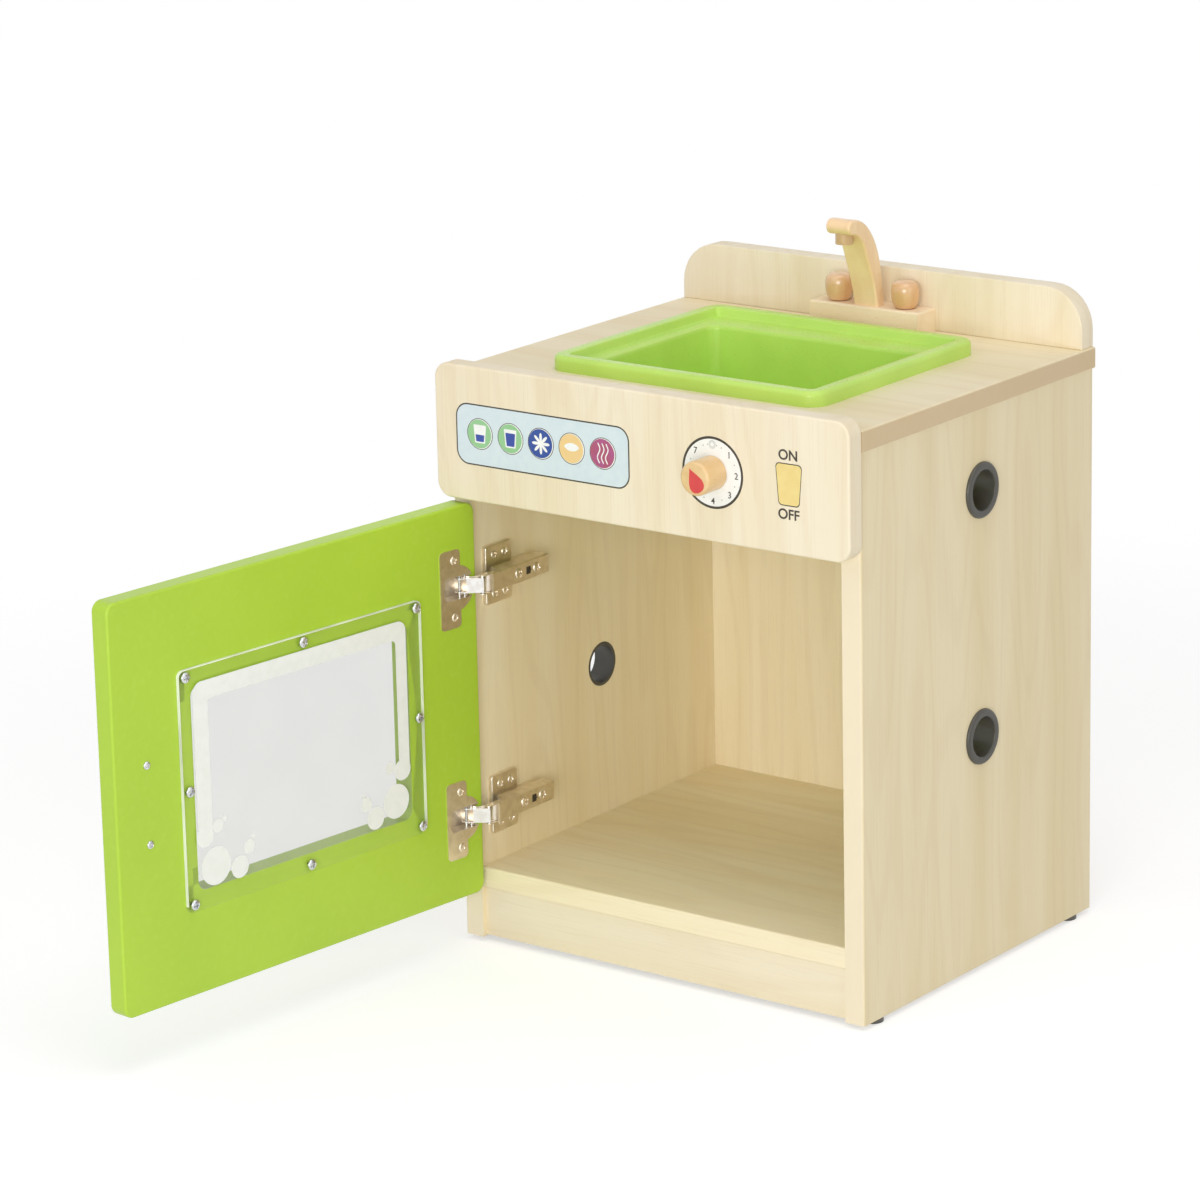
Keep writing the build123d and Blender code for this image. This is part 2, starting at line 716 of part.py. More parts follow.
# Tap knobs: turned barrels, each on a dowel that turns in the tap block
def tap_knob(place):
    foot = tap_top + tap_knob_gap
    middle = foot + tap_knob_height / 2
    crown = foot + tap_knob_height
    with BuildPart() as knob:
        with BuildSketch(Plane(origin=(place[0], place[1], 0), x_dir=(1, 0, 0), z_dir=(0, -1, 0))):
            with BuildLine():
                Line((0, foot), (tap_knob_foot, foot))
                Spline(
                    (tap_knob_foot, foot),
                    (tap_knob_radius, middle),
                    (tap_knob_crown, crown),
                    tangents=[(1, 1.4), (-1, 0.12)],
                )
                Line((tap_knob_crown, crown), (0, crown))
                Line((0, crown), (0, foot))
            make_face()
        revolve(axis=Axis((place[0], place[1], 0), (0, 0, 1)))
        drill(Plane.XY.offset(foot), [place], tap_dowel_radius + glue_gap, tap_dowel_grip)
    return knob


def tap_dowel(place):
    length = tap_dowel_reach + tap_knob_gap + tap_dowel_grip - hole_bottom_gap
    with BuildPart() as axle:
        rod(Plane.XY.offset(tap_top - tap_dowel_reach), [place], tap_dowel_radius, length)
    return axle


for side_name, place in tap_places.items():
    save(tap_knob(place), f"{side_name}_tap_knob")
    save(tap_dowel(place), f"{side_name}_knob_dowel")

# Timer knob on a dowel through the control panel, kept by a washer behind it
timer_place = [(timer_offset, panel_centre)]
with BuildPart() as timer_knob:
    rod(Plane.XZ.offset(-timer_face), timer_place, timer_radius, timer_length)
    fillet(timer_knob.edges().filter_by(GeomType.CIRCLE).sort_by(Axis.Y)[0], radius=timer_round)
    drill(Plane.XZ.offset(-timer_face), timer_place, timer_dowel_radius + glue_gap, timer_dowel_grip)
save(timer_knob, "timer_knob")

with BuildPart() as timer_dowel:
    length = timer_tail + board + timer_gap + timer_dowel_grip - hole_bottom_gap
    rod(Plane.XZ.offset(-(front + timer_tail)), timer_place, timer_dowel_radius, length)
save(timer_dowel, "timer_dowel")

with BuildPart() as timer_retainer:
    washer_face = Plane.XZ.offset(-(front + retainer_gap))
    rod(washer_face, timer_place, retainer_radius, -retainer_thickness)
    drill(washer_face, timer_place, timer_dowel_radius + glue_gap, -retainer_thickness)
save(timer_retainer, "timer_retainer")

# Door, with its window opening, hinge cup pockets and screw holes
with BuildPart() as door_panel:
    with BuildSketch(door_face):
        with Locations((door_width / 2, door_level)):
            RectangleRounded(door_width, door_height, door_corner)
    extrude(amount=board)
    board_faces = door_panel.faces().filter_by(door_face)
    fillet(board_faces.edges(), radius=eased_edge)
    with BuildSketch(door_face):
        with Locations((window_centre, door_level)):
            RectangleRounded(window_width, window_height, window_corner)
    extrude(amount=board, mode=Mode.SUBTRACT)
    cup_places = [(cup_centre, level) for level in hinge_levels.values()]
    drill(door_face, cup_places, cup_radius + glue_gap, cup_depth + glue_gap)
    drill(door_face, cup_screw_places, screw_shank_radius + glue_gap, screw_bite)
    drill(door_face, window_screw_places, screw_shank_radius + glue_gap, pane_screw_bite)
    drill(door_face, pull_screw_places, screw_shank_radius + screw_hole_clearance, board)
save(door_panel, "door_panel")

with BuildPart() as door_window:
    with BuildSketch(door_face):
        with Locations((window_centre, door_level)):
            RectangleRounded(window_width + 2 * pane_lap, window_height + 2 * pane_lap, pane_corner)
    extrude(amount=-pane_thickness)
    drill(door_face, window_screw_places, screw_shank_radius + screw_hole_clearance, -pane_thickness)
save(door_window, "door_window")

with BuildPart() as window_screws:
    screws(door_face, window_screw_places, -pane_thickness, pane_screw_bite - hole_bottom_gap)
save(window_screws, "window_screws")

# Pull on the door's outer face: a bar on two feet
pull_plane = Plane(
    origin=door_edge + door_along * (pull_along - pull_width / 2) + door_into * board,
    x_dir=(0, 0, 1),
    z_dir=door_along,
)
with BuildPart() as door_pull:
    with BuildSketch(pull_plane):
        with Locations((door_level, pull_projection / 2)):
            Rectangle(pull_length, pull_projection)
    extrude(amount=pull_width)
    corners = door_pull.edges().filter_by(Axis((0, 0, 0), door_along))
    far_corners = corners.sort_by(Axis((0, 0, 0), door_into))[-2:]
    fillet(far_corners, radius=pull_round)
    with BuildSketch(pull_plane):
        with Locations((door_level, (pull_projection - pull_bar) / 2)):
            Rectangle(pull_length - 2 * pull_foot, pull_projection - pull_bar)
    extrude(amount=pull_width, mode=Mode.SUBTRACT)
    drill(door_face.offset(board), pull_screw_places, screw_shank_radius + glue_gap, pull_screw_bite)
save(door_pull, "door_pull")

with BuildPart() as pull_screws:
    screws(door_face, pull_screw_places, 0, board + pull_screw_bite - hole_bottom_gap)
save(pull_screws, "pull_screws")


# Hinge cup: pressed into the door, with a flange plate that its two screws go through
def hinge_cup(level):
    height = cup_depth + flange_thickness
    with BuildPart() as cup:
        rod(door_face, [(cup_centre, level)], cup_radius, cup_depth)
        with BuildSketch(door_face) as flange:
            with Locations((cup_centre, level)):
                Circle(cup_rim_radius)
            with Locations(((flange_near + flange_far) / 2, level)):
                RectangleRounded(flange_far - flange_near, flange_height, flange_corner)
        extrude(flange.sketch, amount=-flange_thickness)
        rim = door_face.offset(-flange_thickness)
        with BuildSketch(rim) as mouth:
            with Locations((cup_centre, level)):
                Circle(cup_radius - cup_wall)
                Rectangle(2 * cup_radius, 2 * mouth_half, mode=Mode.INTERSECT)
        extrude(mouth.sketch, amount=height - cup_wall, mode=Mode.SUBTRACT)
        with BuildSketch(rim) as notch:
            with Locations((0, level)):
                Rectangle(2 * cup_rear_pivot, 2 * cup_notch_half)
        extrude(notch.sketch, amount=flange_thickness + cup_notch_depth, mode=Mode.SUBTRACT)
        screw_places = [(cup_screw_inset, level + side * cup_screw_spacing / 2) for side in (-1, 1)]
        drill(rim, screw_places, screw_shank_radius + screw_hole_clearance, flange_thickness)
        across = Plane.XY.offset(level - cup_radius)
        drill(across, [cup_rear, cup_front], pivot_radius + glue_gap, 2 * cup_radius)
    return cup


# Mounting plate: raised wings screwed to the side panel, and a hollow saddle under the arm
def mounting_plate(level):
    wall = Plane.YZ.offset(-inner)
    wing_middle = (front + (plate_near + plate_far) / 2, level)
    saddle_middle = (front + (saddle_near + saddle_far) / 2, level)
    with BuildPart() as plate:
        with BuildSketch(wall):
            with Locations(wing_middle):
                RectangleRounded(plate_far - plate_near, plate_height, plate_corner)
        extrude(amount=plate_rise)
        fillet(plate.faces().sort_by(Axis.X)[-1].edges(), radius=plate_sheet)
        with BuildSketch(wall):
            with Locations(saddle_middle):
                Rectangle(saddle_far - saddle_near, 2 * saddle_half)
        extrude(amount=saddle_top)
        with BuildSketch(wall):
            with Locations(wing_middle):
                Rectangle(plate_far - plate_near - 2 * plate_sheet, plate_height - 2 * plate_sheet)
        extrude(amount=plate_rise - plate_sheet, mode=Mode.SUBTRACT)
        with BuildSketch(wall):
            with Locations(saddle_middle):
                Rectangle(saddle_far - saddle_near - 2 * plate_sheet, 2 * (saddle_half - plate_sheet))
        extrude(amount=saddle_top - plate_sheet, mode=Mode.SUBTRACT)
        wing_places = [
            (front + setback, level + side * plate_screw_spacing / 2)
            for side in (-1, 1)
            for setback in (plate_screw_near, plate_screw_far)
        ]
        drill(wall, wing_places, screw_shank_radius + screw_hole_clearance, plate_rise)
        top_places = [(front + setback, level) for setback in (arm_set_screw, arm_fix_screw)]
        drill(wall, top_places, arm_screw_radius + glue_gap, saddle_top)
    return plate


# Hinge arm: a channel over the saddle whose cheeks carry both carcass pivots
def hinge_arm(level):
    foot = arm_face - arm_depth
    cheek = [side_point(foot, arm_length), side_point(foot, arm_shoulder)]
    cheek += [side_point(arm_cheek_front[0][0], arm_shoulder)]
    cheek += [side_point(*point) for point in arm_cheek_front]
    cheek += [side_point(arm_face, arm_length)]
    with BuildPart() as arm:
        with BuildSketch(Plane.XY.offset(level - arm_half)):
            Polygon(*cheek, align=None)
            with Locations(front_pivot):
                Circle(arm_nose)
        extrude(amount=2 * arm_half)
        fillet(arm.edges().filter_by(Axis.Y).group_by(Axis.X)[-1], radius=arm_round)
        with BuildSketch(Plane.XY.offset(level - arm_gap)):
            with Locations(side_point(0, arm_length / 2)):
                Rectangle(2 * (arm_face - hinge_sheet), 2 * arm_length)
        extrude(amount=2 * arm_gap, mode=Mode.SUBTRACT)
        cheeks = Plane.XY.offset(level - arm_half)
        drill(cheeks, [rear_pivot, front_pivot], pivot_radius + glue_gap, 2 * arm_half)
        web = Plane.YZ.offset(-inner + arm_face)
        screw_places = [(front + setback, level) for setback in (arm_set_screw, arm_fix_screw)]
        drill(web, screw_places, arm_screw_radius + glue_gap, -2 * hinge_sheet)
        with BuildSketch(web):
            with Locations((front + arm_slot, level)):
                SlotOverall(arm_slot_length, arm_slot_width)
        extrude(amount=-2 * hinge_sheet, mode=Mode.SUBTRACT)
    return arm


def link_plane(start, end, level):
    """Plane square to the pivots, with local X from the carcass pivot to the door pivot."""
    return Plane(origin=(start[0], start[1], level), x_dir=(end[0] - start[0], end[1] - start[1], 0))


def link_length(start, end):
    return (Vector(*end) - Vector(*start)).length


# Rear link: two side plates that pass outside the front link, joined by a web by the carcass pivot
def rear_link(level):
    place = link_plane(rear_pivot, cup_rear, level)
    length = link_length(rear_pivot, cup_rear)
    outline = rear_link_sole_near + [(length - back, out) for back, out in rear_link_sole_far]
    outline += [(length - back, out) for back, out in rear_link_back_far] + rear_link_back_near
    eyes = [(0, 0), (length, 0)]
    with BuildPart() as link:
        for side in (-1, 1):
            with BuildSketch(place.offset(side * rear_link_inner)):
                Polygon(*outline, align=None)
                with Locations(*eyes):
                    Circle(eye_radius)
            extrude(amount=side * hinge_sheet)
        with BuildSketch(place.offset(-rear_link_half)):
            with Locations((rear_link_web_start, rear_link_web_offset)):
                Rectangle(
                    rear_link_web_end - rear_link_web_start, link_web_thickness, align=(Align.MIN, Align.MIN)
                )
        extrude(amount=2 * rear_link_half)
        drill(place.offset(-rear_link_half), eyes, pivot_bore, 2 * rear_link_half)
    return link


# Front link: a channel whose web is the bright plate that shows in front of the cup. Its door eye
# is loose on its pin, because that pivot is the one at which the linkage is opened.
def front_link(level):
    place = link_plane(front_pivot, cup_front, level)
    length = link_length(front_pivot, cup_front)
    outline = [(length - back, out) for back, out in front_link_sole_far] + front_link_back_near
    loose_eye = loose_eye_bore + hinge_sheet
    web_start = front_link_back_near[0][0]
    with BuildPart() as link:
        for side in (-1, 1):
            with BuildSketch(place.offset(side * front_link_half)):
                Polygon(*outline, align=None)
                Circle(eye_radius)
                with Locations((length, 0)):
                    Circle(loose_eye)
            extrude(amount=-side * hinge_sheet)
        with BuildSketch(place.offset(-front_link_half)):
            with Locations((web_start, front_link_web_offset)):
                Rectangle(
                    length - front_link_web_end - web_start, link_web_thickness, align=(Align.MIN, Align.MIN)
                )
        extrude(amount=2 * front_link_half)
        drill(place.offset(-front_link_half), [(0, 0)], pivot_bore, 2 * front_link_half)
        drill(place.offset(-front_link_half), [(length, 0)], loose_eye_bore, 2 * front_link_half)
    return link


for level_name, level in hinge_levels.items():
    save(hinge_cup(level), f"{level_name}_hinge_cup")
    save(mounting_plate(level), f"{level_name}_mounting_plate")
    save(hinge_arm(level), f"{level_name}_hinge_arm")
    save(rear_link(level), f"{level_name}_rear_link")
    save(front_link(level), f"{level_name}_front_link")

# Pivot pins. The rear link's door pins are stubs, so that the front link can pass between them.
def cup_reach(pivot):
    """Half height of the cup across a pivot's outer side."""
    return (cup_radius**2 - (cup_centre - pivot + pivot_radius) ** 2) ** 0.5


stub_length = cup_reach(cup_rear_pivot) - rear_link_inner
front_pin_half = cup_reach(cup_front_pivot)
with BuildPart() as arm_pivot_pins:
    for level in hinge_levels.values():
        rod(Plane.XY.offset(level - arm_half), [rear_pivot, front_pivot], pivot_radius, 2 * arm_half)
save(arm_pivot_pins, "arm_pivot_pins")

with BuildPart() as cup_pivot_pins:
    for level in hinge_levels.values():
        for side in (-1, 1):
            stub_start = Plane.XY.offset(level + side * rear_link_inner)
            rod(stub_start, [cup_rear], pivot_radius, side * stub_length)
        rod(Plane.XY.offset(level - front_pin_half), [cup_front], pivot_radius, 2 * front_pin_half)
save(cup_pivot_pins, "cup_pivot_pins")

with BuildPart() as cup_screws:
    screws(door_face, cup_screw_places, -flange_thickness, screw_bite - hole_bottom_gap)
save(cup_screws, "cup_screws")

with BuildPart() as plate_screws:
    screws(hinge_wall, plate_screw_places, -plate_rise, screw_bite - hole_bottom_gap)
save(plate_screws, "plate_screws")

with BuildPart() as arm_screws:
    head_seat = hinge_wall.offset(-arm_face)
    rod(head_seat, arm_screw_places, arm_screw_head, -arm_screw_head_height)
    rod(head_seat, arm_screw_places, arm_screw_radius, arm_screw_reach)
save(arm_screws, "arm_screws")
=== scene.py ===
"""Finishes, prints and small hardware for a wooden play sink with a dishwasher cupboard under it.

Sizes are in millimetres and angles in degrees. The studio's places and sizes are in metres.
"""

import json
import logging
from dataclasses import dataclass, replace
from enum import Enum
from math import pi, radians

import bpy
import numpy as np
from mathutils import Matrix, Vector


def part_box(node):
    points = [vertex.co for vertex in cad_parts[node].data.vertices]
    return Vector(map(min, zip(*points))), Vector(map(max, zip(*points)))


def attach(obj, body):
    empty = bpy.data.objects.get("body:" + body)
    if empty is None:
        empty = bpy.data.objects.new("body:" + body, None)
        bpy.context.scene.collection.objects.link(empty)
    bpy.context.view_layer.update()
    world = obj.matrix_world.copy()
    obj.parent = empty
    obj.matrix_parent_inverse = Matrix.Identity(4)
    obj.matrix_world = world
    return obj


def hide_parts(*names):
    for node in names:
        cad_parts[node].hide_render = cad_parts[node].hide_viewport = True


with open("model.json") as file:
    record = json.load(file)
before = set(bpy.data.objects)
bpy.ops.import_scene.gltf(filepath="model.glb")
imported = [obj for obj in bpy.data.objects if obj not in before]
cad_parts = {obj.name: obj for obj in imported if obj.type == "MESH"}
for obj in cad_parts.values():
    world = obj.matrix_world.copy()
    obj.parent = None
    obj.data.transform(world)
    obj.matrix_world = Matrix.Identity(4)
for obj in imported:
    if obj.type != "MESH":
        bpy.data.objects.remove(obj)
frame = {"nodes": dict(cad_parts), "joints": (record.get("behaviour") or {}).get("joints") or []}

MM = 0.001
IMAGE_SIDE = 1200
LOG = logging.getLogger("sink_unit")

# Inputs and output of a Mix node that mixes colours
MIX_A, MIX_B, MIX_OUT = 6, 7, 2

# Heights over the printed face, in millimetres: a print's underside, then the faces of its layers
PRINT_FOOT = -0.02
PRINT_BASE = 0.08
PRINT_LINE = 0.10
PRINT_LAYER = 0.13
PRINT_RIM = 0.15
PRINT_GROUND = 0.18
PRINT_TOP = 0.24
PRINT_FILLING = 0.28

# Smallest radius that a corner keeps when its outline is drawn in, in millimetres
LEAST_RADIUS = 0.05


def linear(code: str) -> tuple[float, float, float, float]:
    """Turn an sRGB hex value into linear colour.

    Args:
        code: six hex digits after a hash.
    Returns:
        Red, green and blue as light, and an alpha of 1.
    """
    levels = np.array([int(code[start : start + 2], 16) for start in (1, 3, 5)]) / 255
    light = np.where(levels <= 0.04045, levels / 12.92, ((levels + 0.055) / 1.055) ** 2.4)
    return (float(light[0]), float(light[1]), float(light[2]), 1.0)


def add(
    tree: bpy.types.NodeTree,
    kind: str,
    links: dict | None = None,
    values: dict | None = None,
    **settings: object,
) -> bpy.types.Node:
    """Add one node to a material, set it and join it up.

    Args:
        tree: the material's node tree.
        kind: Blender's type name without its "ShaderNode".
        links: output sockets to join, by the name or number of the input they feed.
        values: plain values for inputs, by name or number.
        settings: the node's own properties.
    Returns:
        The new node.
    """
    node = tree.nodes.new("ShaderNode" + kind)
    for key, value in settings.items():
        setattr(node, key, value)
    for key, value in (values or {}).items():
        node.inputs[key].default_value = value
    for key, source in (links or {}).items():
        tree.links.new(source, node.inputs[key])
    return node


class Grain(Enum):
    """Way the grain runs, as the turn that brings it upright."""

    ACROSS = (0.0, -pi / 2, 0.0)
    DEEP = (pi / 2, 0.0, 0.0)
    UPRIGHT = (0.0, 0.0, 0.0)


@dataclass(frozen=True)
class Finish:
    """A surface finish. Subclasses write their colour, gloss and relief onto the shader."""

    name: str

    def shade(self, tree: bpy.types.NodeTree, shader: bpy.types.Node) -> None:
        """Dress the shader.

        Args:
            tree: the material's node tree.
            shader: its Principled BSDF.
        """

    def material(self) -> bpy.types.Material:
        """Make the material, or hand back the one already made.

        Returns:
            The finished Blender material.
        """
        made = bpy.data.materials.get(self.name)
        if made is None:
            made = bpy.data.materials.new(self.name)
            made.use_nodes = True
            self.shade(made.node_tree, made.node_tree.nodes["Principled BSDF"])
        return made


def stretched(
    tree: bpy.types.NodeTree,
    space: bpy.types.NodeSocket,
    across: float,
    along: float,
    detail: float,
) -> bpy.types.NodeSocket:
    """Noise drawn out along the upright axis.

    Args:
        tree: the material's node tree.
        space: position with the grain upright, in metres.
        across: size of a spot across the grain, in millimetres.
        along: its size along the grain, in millimetres.
        detail: octaves of finer noise.
    Returns:
        The noise, from 0 to 1.
    """
    scale = (1 / (across * MM), 1 / (across * MM), 1 / (along * MM))
    fitted = add(tree, "Mapping", {"Vector": space}, {"Scale": scale})
    values = {"Scale": 1.0, "Detail": detail, "Roughness": 0.55}
    return add(tree, "TexNoise", {"Vector": fitted.outputs[0]}, values).outputs[0]


def blended(
    tree: bpy.types.NodeTree,
    amount: bpy.types.NodeSocket,
    span: tuple[float, float],
    strength: float,
    under: bpy.types.NodeSocket | tuple,
    over: bpy.types.NodeSocket | tuple,
) -> bpy.types.NodeSocket:
    """Mix two colours by a pattern.

    Args:
        tree: the material's node tree.
        amount: the pattern.
        span: pattern values at which the mix starts and ends.
        strength: the most of the second colour.
        under: colour where the pattern is low, as a socket or a linear colour.
        over: colour where the pattern is high, as a socket or a linear colour.
    Returns:
        The mixed colour.
    """
    limits = {"From Min": span[0], "From Max": span[1], "To Min": 0.0, "To Max": strength}
    eased = add(tree, "MapRange", {"Value": amount}, limits, interpolation_type="SMOOTHSTEP")
    links: dict = {0: eased.outputs[0]}
    values: dict = {}
    for socket, colour in ((MIX_A, under), (MIX_B, over)):
        (values if isinstance(colour, tuple) else links)[socket] = colour
    return add(tree, "Mix", links, values, data_type="RGBA").outputs[MIX_OUT]


@dataclass(frozen=True)
class MapleBoard(Finish):
    """Melamine-faced particle board with a maple print, pressed on a satin plate.

    The eye gets pale cream with soft bands along the grain, faint growth lines that close into
    long pointed loops, and a dry satin light without the depth of lacquer. The place shifts the
    pattern, in metres, so that no two boards show the same stretch of it.
    """

    grain: Grain = Grain.UPRIGHT
    place: tuple[float, float, float] = (0.0, 0.0, 0.0)
    pale: str = "#F4E8CF"
    honey: str = "#EBDBB8"
    shadow: str = "#D2B584"
    edge: str | None = None
    thin_axis: int = 2
    roughness: float = 0.46

    def banded(
        self, tree: bpy.types.NodeTree, tone: bpy.types.NodeSocket
    ) -> bpy.types.NodeSocket:
        """Tint the faces that lie along the board's thickness, where its edge band is glued on.

        Args:
            tree: the material's node tree.
            tone: colour of the board's faces.
        Returns:
            The colour with its edge band.
        """
        normal = add(tree, "TexCoord").outputs["Normal"]
        parts = add(tree, "SeparateXYZ", {0: normal}).outputs[self.thin_axis]
        flat = add(tree, "Math", {0: parts}, operation="ABSOLUTE").outputs[0]
        beside = add(tree, "Math", {1: flat}, {0: 1.0}, operation="SUBTRACT").outputs[0]
        return blended(tree, beside, (0.3, 0.7), 0.8, tone, linear(self.edge))

    def shade(self, tree: bpy.types.NodeTree, shader: bpy.types.Node) -> None:
        """Write bands 45 mm wide, growth lines about 9 mm apart and fibres 1.4 mm wide.

        Args:
            tree: the material's node tree.
            shader: its Principled BSDF.
        """
        where = add(tree, "TexCoord").outputs["Object"]
        placed = {"Rotation": self.grain.value, "Location": self.place}
        space = add(tree, "Mapping", {"Vector": where}, placed).outputs[0]
        bands = stretched(tree, space, 45, 800, 2)
        figure = stretched(tree, space, 70, 520, 1)
        # Contours of a slow noise give the long pointed loops of a flat-sawn board
        contour = add(tree, "Math", {0: figure}, {1: 60.0}, operation="MULTIPLY")
        rings = add(tree, "Math", {0: contour.outputs[0]}, operation="SINE").outputs[0]
        # Real maple fibres are finer than a pixel, so they are drawn 1.4 mm wide
        fibres = stretched(tree, space, 1.4, 70, 3)
        flecks = stretched(tree, space, 0.9, 7, 1)
        tone = blended(tree, bands, (0.35, 0.68), 0.6, linear(self.pale), linear(self.honey))
        tone = blended(tree, rings, (0.1, 1.0), 0.09, tone, linear(self.shadow))
        tone = blended(tree, fibres, (0.5, 0.75), 0.16, tone, linear(self.shadow))
        tone = blended(tree, flecks, (0.66, 0.8), 0.14, tone, linear(self.shadow))
        if self.edge:
            tone = self.banded(tree, tone)
        tree.links.new(tone, shader.inputs["Base Color"])
        relief = add(tree, "Bump", {"Height": fibres}, {"Strength": 0.12, "Distance": 0.05 * MM})
        tree.links.new(relief.outputs[0], shader.inputs["Normal"])
        shader.inputs["Roughness"].default_value = self.roughness
        shader.inputs["IOR"].default_value = 1.5
        shader.inputs["Specular IOR Level"].default_value = 0.4


@dataclass(frozen=True)
class LacqueredWood(Finish):
    """Solid rubberwood under clear lacquer, planed or turned, then sanded and sprayed.

    The eye gets warm honey wood with short dark pores and a wet highlight on rounded edges. The
    place shifts the pattern, in metres, as on the boards.
    """

    grain: Grain = Grain.UPRIGHT
    place: tuple[float, float, float] = (0.0, 0.0, 0.0)
    light: str = "#E9CB98"
    warm: str = "#D9B27A"
    pore: str = "#A87A45"
    gloss: float = 0.6

    def shade(self, tree: bpy.types.NodeTree, shader: bpy.types.Node) -> None:
        """Write year bands about 11 mm apart and pores 0.35 mm wide and 5 mm long.

        Args:
            tree: the material's node tree.
            shader: its Principled BSDF.
        """
        where = add(tree, "TexCoord").outputs["Object"]
        placed = {"Rotation": self.grain.value, "Location": self.place}
        space = add(tree, "Mapping", {"Vector": where}, placed).outputs[0]
        cloud = stretched(tree, space, 18, 90, 2)
        # Year rings stand round an axis along the grain, which the place shifts
        bent = add(tree, "Mapping", {"Vector": space}, {"Scale": (1 / 0.012, 1 / 0.012, 1 / 0.2)})
        rings = add(
            tree,
            "TexWave",
            {"Vector": bent.outputs[0]},
            {"Scale": 0.35, "Distortion": 2.5, "Detail": 1.0, "Detail Scale": 0.6},
            wave_type="RINGS",
            rings_direction="Z",
        ).outputs["Fac"]
        # Real pores are a tenth of a millimetre wide, so they are drawn three times as wide
        pores = stretched(tree, space, 0.35, 5, 1)
        tone = blended(tree, cloud, (0.3, 0.7), 0.8, linear(self.light), linear(self.warm))
        tone = blended(tree, rings, (0.45, 1.0), 0.35, tone, linear(self.warm))
        tone = blended(tree, pores, (0.62, 0.74), 0.5, tone, linear(self.pore))
        tree.links.new(tone, shader.inputs["Base Color"])
        relief = add(tree, "Bump", {"Height": pores}, {"Strength": 0.08, "Distance": 0.05 * MM})
        tree.links.new(relief.outputs[0], shader.inputs["Normal"])
        shader.inputs["Roughness"].default_value = 0.38
        shader.inputs["IOR"].default_value = 1.5
        shader.inputs["Coat Weight"].default_value = self.gloss
        shader.inputs["Coat Roughness"].default_value = 0.12


@dataclass(frozen=True)
class LacqueredBoard(Finish):
    """Medium-density fibreboard, routed and sprayed with satin coloured lacquer.

    The eye gets one clear colour that drifts a little over the sheet, with the fine orange peel
    of spray in its highlights.
    """

    colour: str = "#B4D63E"
    drift: str = "#AACD37"
    rubbed: str = "#BEDC54"

    def shade(self, tree: bpy.types.NodeTree, shader: bpy.types.Node) -> None:
        """Write drift 120 mm wide, faint mottling 6 mm wide and orange peel 1.5 mm wide.

        Args:
            tree: the material's node tree.
            shader: its Principled BSDF.
        """
        space = add(tree, "TexCoord").outputs["Object"]
        cloud = stretched(tree, space, 120, 160, 1)
        mottle = stretched(tree, space, 6, 6, 2)
        peel = stretched(tree, space, 1.5, 1.5, 2)
        tone = blended(tree, cloud, (0.3, 0.7), 0.6, linear(self.colour), linear(self.drift))
        tone = blended(tree, mottle, (0.45, 0.8), 0.25, tone, linear(self.rubbed))
        tree.links.new(tone, shader.inputs["Base Color"])
        relief = add(tree, "Bump", {"Height": peel}, {"Strength": 0.1, "Distance": 0.05 * MM})
        tree.links.new(relief.outputs[0], shader.inputs["Normal"])
        gloss = {"From Min": 0.3, "From Max": 0.7, "To Min": 0.3, "To Max": 0.38}
        dulled = add(tree, "MapRange", {"Value": mottle}, gloss)
        tree.links.new(dulled.outputs[0], shader.inputs["Roughness"])
        shader.inputs["IOR"].default_value = 1.5


@dataclass(frozen=True)
class MouldedPlastic(Finish):
    """Injection-moulded plastic from a spark-eroded tool.

    The eye gets an even colour with a soft gloss, broken up by the tool's fine pebble texture and
    by faint flow clouds.
    """

    colour: str = "#9ED04A"
    cloud: str = "#93C640"
    roughness: float = 0.3
    pebble: float = 0.8
    relief: float = 0.03
    depth: float = 0.0

    def shade(self, tree: bpy.types.NodeTree, shader: bpy.types.Node) -> None:
        """Write the pebble texture and flow clouds 50 mm wide.

        Args:
            tree: the material's node tree.
            shader: its Principled BSDF.
        """
        space = add(tree, "TexCoord").outputs["Object"]
        flow = stretched(tree, space, 50, 50, 2)
        # The real pebble is 0.1 mm, drawn several times coarser so that it shows
        grit = stretched(tree, space, self.pebble, self.pebble, 2)
        tone = blended(tree, flow, (0.3, 0.7), 0.7, linear(self.colour), linear(self.cloud))
        tree.links.new(tone, shader.inputs["Base Color"])
        bump = add(tree, "Bump", {"Height": grit}, {"Strength": 0.25, "Distance": self.relief * MM})
        tree.links.new(bump.outputs[0], shader.inputs["Normal"])
        gloss = {"From Min": 0.3, "From Max": 0.7, "To Min": self.roughness, "To Max": self.roughness + 0.08}
        worn = add(tree, "MapRange", {"Value": grit}, gloss)
        tree.links.new(worn.outputs[0], shader.inputs["Roughness"])
        shader.inputs["IOR"].default_value = 1.49
        shader.inputs["Subsurface Weight"].default_value = self.depth
        shader.inputs["Subsurface Scale"].default_value = 1.5 * MM


